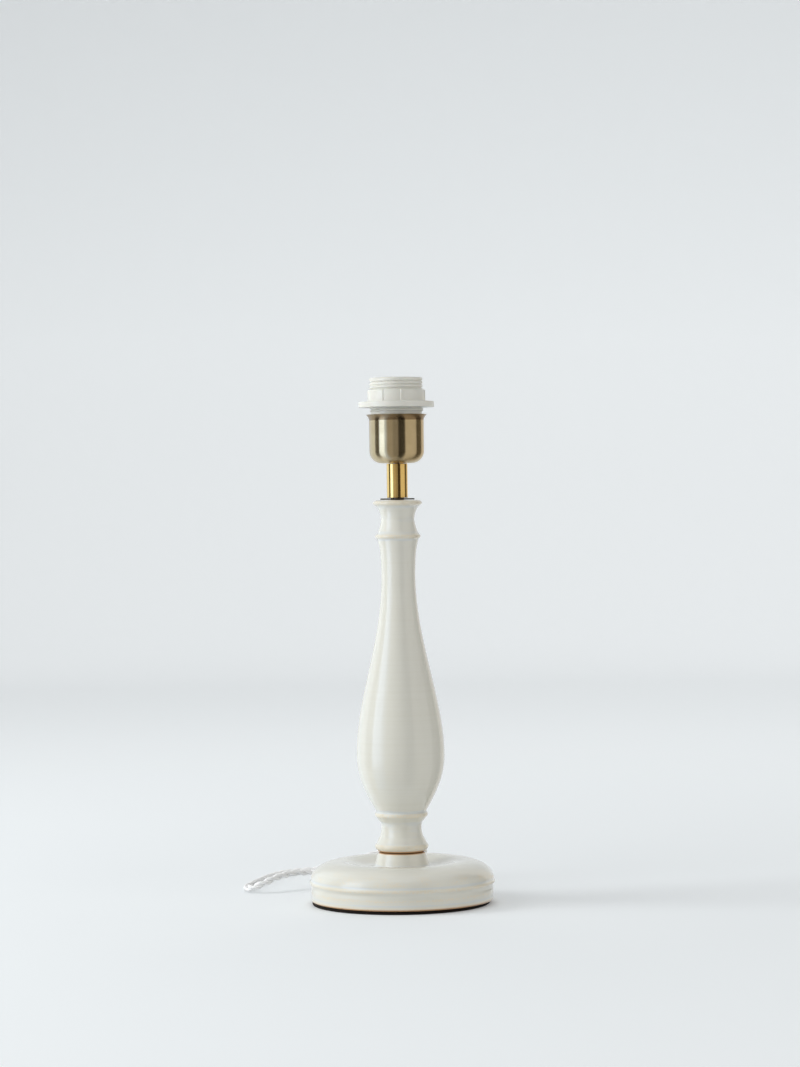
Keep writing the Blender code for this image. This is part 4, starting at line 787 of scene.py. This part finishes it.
def make_foot():
    inner = [
        (12.0 * MM, COLLAR_TOP),
        (TUBE_HOLE, COLLAR_TOP),
        (TUBE_HOLE, RECESS[1]),
        (RECESS[0] - 4 * MM, RECESS[1]),
        (RECESS[0], RECESS[1] - 4 * MM),
        (RECESS[0], FOOT_LOW),
    ]
    streaks = [
        (3.6 * MM, 1.0 * MM, 0.3),
        (6.2 * MM, 1.0 * MM, -0.42),
        (9.6 * MM, 1.2 * MM, 0.33),
        (13.4 * MM, 1.2 * MM, 0.3),
        (18.9 * MM, 0.9 * MM, -0.3),
    ]
    shape = hand_turned(0.16 * MM)
    bare = [(0, FOOT_LOW + 0.7 * MM), (COLLAR_TOP - 0.5 * MM, STEM_LOW)]
    glazed("glazed_foot", foot_side(), inner, ["foot"], shape, 216, streaks, bare)


# Brass, lampholder and small turned pieces


def turned_over(name, node, outline, material, steps=144, shape=None, degrees=38):
    """A fine turned piece in the place of a coarser solid."""
    obj = turned(name, outline, material, steps, body=NODES[node]["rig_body"], shape=shape)
    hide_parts(node)
    sharpen(obj, degrees)


def washer_outline(node, inner, edge):
    """A ring of the node's size with bevelled outer edges."""
    low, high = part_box(node)
    outer = high.x
    return [
        (inner, low.z),
        (outer - edge, low.z),
        (outer, low.z + edge),
        (outer, high.z - edge),
        (outer - edge, high.z),
        (inner, high.z),
    ]


CUP_LOW = 327.4 * MM
CUP_TOP = 363.6 * MM
CUP_RADIUS = 20.4 * MM
CUP_RIM = 22.8 * MM
CUP_WALL = 0.9 * MM
CUP_CORNER = 9.0 * MM
CUP_FLARE = 4.6 * MM
NECK_WALL = 1.0 * MM


def make_cup():
    flare = [i / 12 for i in range(13)]
    outer = [(TUBE_HOLE, CUP_LOW)]
    outer += arc((CUP_RADIUS - CUP_CORNER, CUP_LOW + CUP_CORNER), (CUP_CORNER,) * 2, -90, 0, 24)
    outer += [
        (CUP_RADIUS + (CUP_RIM - CUP_RADIUS) * t**2, CUP_TOP - CUP_FLARE * (1 - t)) for t in flare
    ]
    corner = CUP_CORNER - CUP_WALL
    inner = [(r - CUP_WALL, z) for r, z in outer[::-1] if z > CUP_LOW + CUP_CORNER]
    inner[0] = (CUP_RIM - CUP_WALL, CUP_TOP)
    inner += arc((CUP_RADIUS - CUP_CORNER, CUP_LOW + CUP_CORNER), (corner,) * 2, 0, -90, 16)
    inner.append((TUBE_HOLE, CUP_LOW + CUP_WALL))
    turned_over("brass_cup", "cup", outer + inner, CUP_BRASS, 160)


def make_neck():
    """The neck tube, the washer under it and the seam between foot and stem."""
    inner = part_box("neck_tube")[1].x - NECK_WALL
    tube = washer_outline("neck_tube", inner, 0.25 * MM)
    turned_over("brass_neck", "neck_tube", tube, TUBE_BRASS, 112)
    disc = washer_outline("top_washer", TUBE_HOLE, 0.15 * MM)
    turned_over("dark_washer", "top_washer", disc, DARK_WASHER, 112)
    disc = washer_outline("seam_gasket", TUBE_HOLE, 0.2 * MM)
    turned_over("brown_seam", "seam_gasket", disc, SEAM, 112)


# The pad lies a little to the left of the foot's centre
PAD_ASIDE = 0.9 * MM
PAD_FRAY = 0.12 * MM


def make_pad():
    """Felt with a soft, slightly ragged edge."""
    low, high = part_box("foot_pad")
    outer, middle = high.x, (low.z + high.z) / 2
    half = (high.z - low.z) / 2
    outline = [(2 * MM, low.z), *arc((outer - half, middle), (half, half), -90, 90, 6)]
    outline += [(2 * MM, high.z)]

    def ragged(radius, height, turn):
        if radius < outer - 2 * half:
            return radius, height
        fray = 0.5 * math.sin(61 * turn) + 0.3 * math.sin(143 * turn + 1)
        fray += 0.2 * math.sin(307 * turn)
        aside = -PAD_ASIDE * math.cos(turn)
        return radius + aside - PAD_FRAY * (1 + fray) / 2, height

    turned_over("felt_pad", "foot_pad", outline, FELT, 320, ragged, 70)


THREAD_RADIUS = 19.9 * MM
THREAD_DEPTH = 1.0 * MM
THREAD_PITCH = 2.5 * MM
THREAD_TOP = 389.9 * MM
THREAD_LOW = 366.2 * MM
THREAD_TURN = math.radians(35)
BARREL_TOP = 391.0 * MM
BARREL_LOW = 350.7 * MM
BARREL_NECK = 19.0 * MM
MOUTH = 14.7 * MM
SPIGOT = (16.7 * MM, 15.2 * MM, 344.4 * MM)


def ease(value):
    value = min(max(value, 0), 1)
    return value * value * (3 - 2 * value)


def barrel_thread(radius, height, turn):
    """A rolled right-hand thread: wide rounded crests and narrow grooves."""
    if radius < THREAD_RADIUS - 0.01 * MM or not THREAD_LOW < height < THREAD_TOP:
        return radius, height
    phase = (height / THREAD_PITCH - (turn - THREAD_TURN) / (2 * math.pi)) % 1
    groove = 1 - ease((abs(phase - 0.5) * 2 - 0.12) / 0.5)
    fade = ease((THREAD_TOP - height) / (0.8 * MM)) * ease((height - THREAD_LOW) / (0.8 * MM))
    return radius - THREAD_DEPTH * groove * fade, height


def make_barrel():
    rings = round((THREAD_TOP - THREAD_LOW) / (0.17 * MM))
    thread = [
        (THREAD_RADIUS, THREAD_LOW + (THREAD_TOP - THREAD_LOW) * i / rings)
        for i in range(rings + 1)
    ]
    spigot, bore, low = SPIGOT
    outline = [
        (bore, low),
        (spigot, low),
        (spigot, BARREL_LOW),
        (BARREL_NECK, BARREL_LOW),
        (BARREL_NECK, THREAD_LOW - 0.5 * MM),
        *thread,
        (THREAD_RADIUS - 0.15 * MM, BARREL_TOP - 0.6 * MM),
        (THREAD_RADIUS - 0.45 * MM, BARREL_TOP - 0.2 * MM),
        (THREAD_RADIUS - 1.0 * MM, BARREL_TOP),
        (MOUTH + 0.6 * MM, BARREL_TOP),
        (MOUTH + 0.1 * MM, BARREL_TOP - 0.3 * MM),
        (MOUTH, BARREL_TOP - 0.8 * MM),
        (MOUTH, BARREL_TOP - 3.0 * MM),
        (bore, BARREL_TOP - 3.0 * MM),
    ]
    turned_over(
        "threaded_barrel", "holder_barrel", outline, PLASTIC, 176, barrel_thread
    )


RING_LOW = 368.9 * MM
RING_HEIGHT = 12.9 * MM
FLANGE = (28.2 * MM, 4.3 * MM)
SKIRT_RADIUS = 21.7 * MM
RING_BORE = 20.2 * MM
PAD_STEP = 0.5 * MM
PADS = 5
PAD_TURN = math.radians(-9)
PAD_EDGE = math.radians(0.9)


def ring_pads(radius, height, turn):
    """Raised grips round the skirt, with crisp upright edges."""
    if abs(radius - SKIRT_RADIUS) > 0.35 * MM or height < RING_LOW + FLANGE[1]:
        return radius, height
    pitch = 2 * math.pi / PADS
    place = (turn + math.pi / 2 - PAD_TURN) % pitch - pitch / 2
    raised = ease((pitch / 4 - abs(place)) / PAD_EDGE + 0.5)
    return radius - PAD_STEP * (1 - raised), height


def make_ring():
    flange, thick = FLANGE
    shelf = RING_LOW + thick
    top = RING_LOW + RING_HEIGHT
    outline = [
        (RING_BORE, RING_LOW),
        (RING_BORE + 2.2 * MM, RING_LOW),
        (RING_BORE + 2.5 * MM, RING_LOW + 0.01 * MM),
        (flange - 0.5 * MM, RING_LOW),
        *arc((flange - 0.4 * MM, RING_LOW + 0.4 * MM), (0.4 * MM,) * 2, -80, 0, 4),
        *arc((flange - 0.7 * MM, shelf - 0.7 * MM), (0.7 * MM,) * 2, 0, 80, 5),
        (flange - 0.9 * MM, shelf),
        (SKIRT_RADIUS + 0.5 * MM, shelf),
        (SKIRT_RADIUS + 0.12 * MM, shelf + 0.12 * MM),
        (SKIRT_RADIUS, shelf + 0.5 * MM),
        (SKIRT_RADIUS, top - 0.8 * MM),
        (SKIRT_RADIUS - 0.12 * MM, top - 0.4 * MM),
        (SKIRT_RADIUS - 0.3 * MM, top - 0.12 * MM),
        (SKIRT_RADIUS - 0.7 * MM, top),
        (RING_BORE + 0.3 * MM, top),
        (RING_BORE, top - 0.3 * MM),
    ]
    turned_over(
        "grip_ring", "shade_ring", outline, PLASTIC, 720, ring_pads, 32
    )


SHELL_PITCH = 3.6 * MM
SHELL_ROLL = 0.6 * MM


def make_shell():
    """The lamp's own thread, rolled in thin metal."""
    low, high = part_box("screw_shell")
    outer, wall, edge = high.x, 0.5 * MM, 1.2 * MM
    rings = 90
    heights = [low.z + (high.z - low.z) * i / rings for i in range(rings + 1)]
    outline = [(outer, z) for z in heights] + [(outer - wall, z) for z in heights[::-1]]

    def rolled(radius, height, turn):
        phase = (height / SHELL_PITCH - turn / (2 * math.pi)) * 2 * math.pi
        fade = ease((high.z - height) / edge) * ease((height - low.z) / edge)
        return radius - SHELL_ROLL * fade * (1 + math.cos(phase)) / 2, height

    turned_over("rolled_shell", "screw_shell", outline, NICKEL, 96, rolled, 60)


# Studio: the sweep's colour and sizes, and the glow that only direct sight and reflections
# see, which grows away from the lamp, to the right and down
BACKDROP = (0.77, 0.79, 0.80)
SWEEP_FRONT = -6.0
SWEEP_DEPTH = 3.6
SWEEP_RISE = 3.6
SWEEP_BEND = 0.9
SWEEP_HALF_WIDTH = 6.0
FLOOR_GLOW = 0.17
WALL_GLOW = 0.48
GLOW_REACH = (0.3, 3.0)
GLOW_SLOPE = 0.03
GLOW_SIDES = 0.8
GLOW_FADE = 0.13
GLOW_FADE_HEIGHTS = (0.6, 1.3)
FILL_TINT = (0.97, 0.99, 1.0)
FILL_LEVEL = 0.44

# Softboxes: azimuth from the front in degrees towards +X, height, distance, size, power, tint
LIGHTS = {
    "key": (-84, 0.95, 1.9, (1.0, 1.6), 26, (0.95, 0.985, 1.0)),
    "front_left": (-42, 1.1, 2.3, (1.2, 1.2), 8, (0.98, 0.99, 1.0)),
    "fill_right": (50, 0.8, 2.3, (1.2, 1.5), 7, (1.0, 0.97, 0.92)),
    "rim_right": (112, 0.7, 2.2, (1.2, 1.4), 2.5, (1.0, 0.98, 0.90)),
    "top": (175, 1.9, 1.2, (1.6, 1.6), 9, (0.98, 0.99, 1.0)),
}
LIGHT_AIM = Vector((0, 0, 0.2))

# Reflection cards: a zone's line of radii and heights, over the floor and then up, and for
# each card its two azimuths, its level in each zone and its tint
CARD_ZONES = {
    "near": [(0.115, 0.004), (0.40, 0.004)],
    "far": [(0.40, 0.004), (1.35, 0.004), (1.35, 0.25)],
    "upper": [(1.35, 0.25), (1.35, 1.1)],
    "head": [(1.35, 1.1), (1.35, 1.7)],
}
CARD_STEPS = 6
PALE = (0.88, 0.97, 1.05)
COLD = (0.80, 0.98, 1.30)
WARM = (1.0, 0.95, 0.86)
DARK = (1.0, 0.88, 0.66)
CARDS = {
    "wall_left": (-150, -103, (1.1, 1.1, 1.1, 1.1), PALE),
    "flag_left": (-103, -79, (0.8, 0.12, 0.12, 0.7), WARM),
    "window_left": (-79, -53, (1.0, 2.1, 2.4, 1.2), COLD),
    "window_edge": (-53, -43, (0.7, 0.95, 0.95, 0.8), COLD),
    "room_middle": (-43, -16, (0.46, 0.46, 0.46, 0.46), WARM),
    "room_shade": (-16, 7, (0.33, 0.33, 0.33, 0.33), WARM),
    "flag_middle": (7, 37, (0.045, 0.045, 0.045, 0.045), DARK),
    "room_right": (37, 92, (0.72, 0.72, 0.72, 0.72), WARM),
    "flag_right": (92, 127, (0.14, 0.14, 0.14, 0.14), DARK),
    "wall_right": (127, 150, (0.8, 0.8, 0.8, 0.8), WARM),
}


def make_camera():
    data = bpy.data.cameras.new("camera")
    data.sensor_fit = "HORIZONTAL"
    data.sensor_width = 36
    data.lens = LENS
    data.clip_end = 20
    camera = bpy.data.objects.new("camera", data)
    bpy.context.scene.collection.objects.link(camera)
    look = Matrix.Rotation(math.radians(90 - PITCH_DOWN), 4, "X")
    roll = Matrix.Rotation(math.radians(-ROLL), 4, "Z")
    camera.matrix_world = Matrix.Translation((EYE_OFFSET, -EYE_DISTANCE, EYE_HEIGHT)) @ look @ roll
    bpy.context.scene.camera = camera
    bpy.context.scene.view_settings.view_transform = "Standard"


def area_light(name, azimuth, height, distance, size, power, color):
    """A softbox that lights the lamp without showing in it."""
    data = bpy.data.lights.new(name, "AREA")
    data.shape = "RECTANGLE"
    data.size, data.size_y = size
    data.energy = power
    data.color = color
    light = bpy.data.objects.new(name, data)
    light.visible_glossy = False
    bpy.context.scene.collection.objects.link(light)
    turn = math.radians(azimuth)
    place = Vector((distance * math.sin(turn), -distance * math.cos(turn), height))
    light.location = place
    light.rotation_euler = (LIGHT_AIM - place).to_track_quat("-Z", "Y").to_euler()


def glowing(name, level, tint):
    material = bpy.data.materials.new(name)
    material.use_nodes = True
    nodes = material.node_tree.nodes
    nodes.clear()
    glow = nodes.new("ShaderNodeEmission")
    glow.inputs[0].default_value = (*tint, 1)
    glow.inputs[1].default_value = level
    out = nodes.new("ShaderNodeOutputMaterial")
    material.node_tree.links.new(glow.outputs[0], out.inputs[0])
    return material


def only_reflected(card):
    card.visible_camera = False
    card.visible_diffuse = False
    card.visible_shadow = False
    card.visible_transmission = False


def reflection_cards(name, start, end, levels, tint):
    """Cards between two azimuths that only reflections see, one for each zone."""
    row = CARD_STEPS + 1
    for (zone, line), level in zip(CARD_ZONES.items(), levels):
        verts = []
        for radius, z in line:
            for i in range(row):
                turn = math.radians(start + (end - start) * i / CARD_STEPS)
                verts.append((radius * math.sin(turn), -radius * math.cos(turn), z))
        faces = [
            (k * row + i, k * row + i + 1, (k + 1) * row + i + 1, (k + 1) * row + i)
            for k in range(len(line) - 1)
            for i in range(CARD_STEPS)
        ]
        title = f"{name}_{zone}"
        only_reflected(new_object(title, verts, faces, glowing(title, level, tint), None))


def make_stage():
    """A pale sweep: floor that curves up into a wall far behind."""
    flat = SWEEP_DEPTH - SWEEP_BEND
    line = [(SWEEP_FRONT, 0.0), (flat, 0.0)]
    line += arc((flat, SWEEP_BEND), (SWEEP_BEND, SWEEP_BEND), -90, 0, 24)
    line.append((SWEEP_DEPTH, SWEEP_RISE))
    verts = [(x, y, z) for y, z in line for x in (-SWEEP_HALF_WIDTH, SWEEP_HALF_WIDTH)]
    faces = [(2 * i, 2 * i + 1, 2 * i + 3, 2 * i + 2) for i in range(len(line) - 1)]
    s = Shader(
        "pale_sweep", BACKDROP, 0.9, Specular_IOR_Level=0.0, Emission_Color=(*BACKDROP, 1)
    )
    rays = s.node("ShaderNodeLightPath").outputs
    seen = s.maths("MAXIMUM", rays["Is Camera Ray"], rays["Is Glossy Ray"])
    seen = s.maths("MAXIMUM", seen, rays["Is Transmission Ray"])
    coords = s.node("ShaderNodeTexCoord").outputs["Object"]
    place = s.node("ShaderNodeSeparateXYZ", {"Vector": coords}).outputs
    away = s.node("ShaderNodeVectorMath", {"Vector": coords}, operation="LENGTH")
    level = s.span(away.outputs["Value"], *GLOW_REACH, FLOOR_GLOW, WALL_GLOW)
    slope = s.span(place["X"], -GLOW_SIDES, GLOW_SIDES, -GLOW_SLOPE, GLOW_SLOPE)
    level = s.maths("ADD", level, slope)
    fade = s.span(place["Z"], *GLOW_FADE_HEIGHTS, 0, GLOW_FADE)
    level = s.maths("SUBTRACT", level, fade)
    glow = s.maths("MULTIPLY", seen, level)
    s.links.new(glow, s.bsdf.inputs["Emission Strength"])
    sweep = new_object("sweep", verts, faces, s.material, None)


def make_world():
    """An even fill, behind which direct sight and reflections see the backdrop's colour."""
    world = bpy.data.worlds.new("studio")
    bpy.context.scene.world = world
    world.use_nodes = True
    nodes, links = world.node_tree.nodes, world.node_tree.links
    fill = nodes["Background"]
    fill.inputs[0].default_value = (*FILL_TINT, 1)
    fill.inputs[1].default_value = FILL_LEVEL
    seen = nodes.new("ShaderNodeBackground")
    seen.inputs[0].default_value = (*BACKDROP, 1)
    seen.inputs[1].default_value = 1.0
    rays = nodes.new("ShaderNodeLightPath").outputs
    shiny = nodes.new("ShaderNodeMath")
    shiny.operation = "MAXIMUM"
    links.new(rays["Is Glossy Ray"], shiny.inputs[0])
    links.new(rays["Is Transmission Ray"], shiny.inputs[1])
    direct = nodes.new("ShaderNodeMath")
    direct.operation = "MAXIMUM"
    links.new(rays["Is Camera Ray"], direct.inputs[0])
    links.new(shiny.outputs[0], direct.inputs[1])
    pick = nodes.new("ShaderNodeMixShader")
    links.new(direct.outputs[0], pick.inputs[0])
    links.new(fill.outputs[0], pick.inputs[1])
    links.new(seen.outputs[0], pick.inputs[2])
    links.new(pick.outputs[0], nodes["World Output"].inputs[0])


def make_light():
    make_world()
    for name, settings in LIGHTS.items():
        area_light(name, *settings)
    for name, settings in CARDS.items():
        reflection_cards(name, *settings)


make_camera()
make_cord()
dress_nodes()
make_foot()
make_stem()
make_pad()
make_neck()
make_cup()
make_barrel()
make_ring()
make_shell()
make_stage()
make_light()
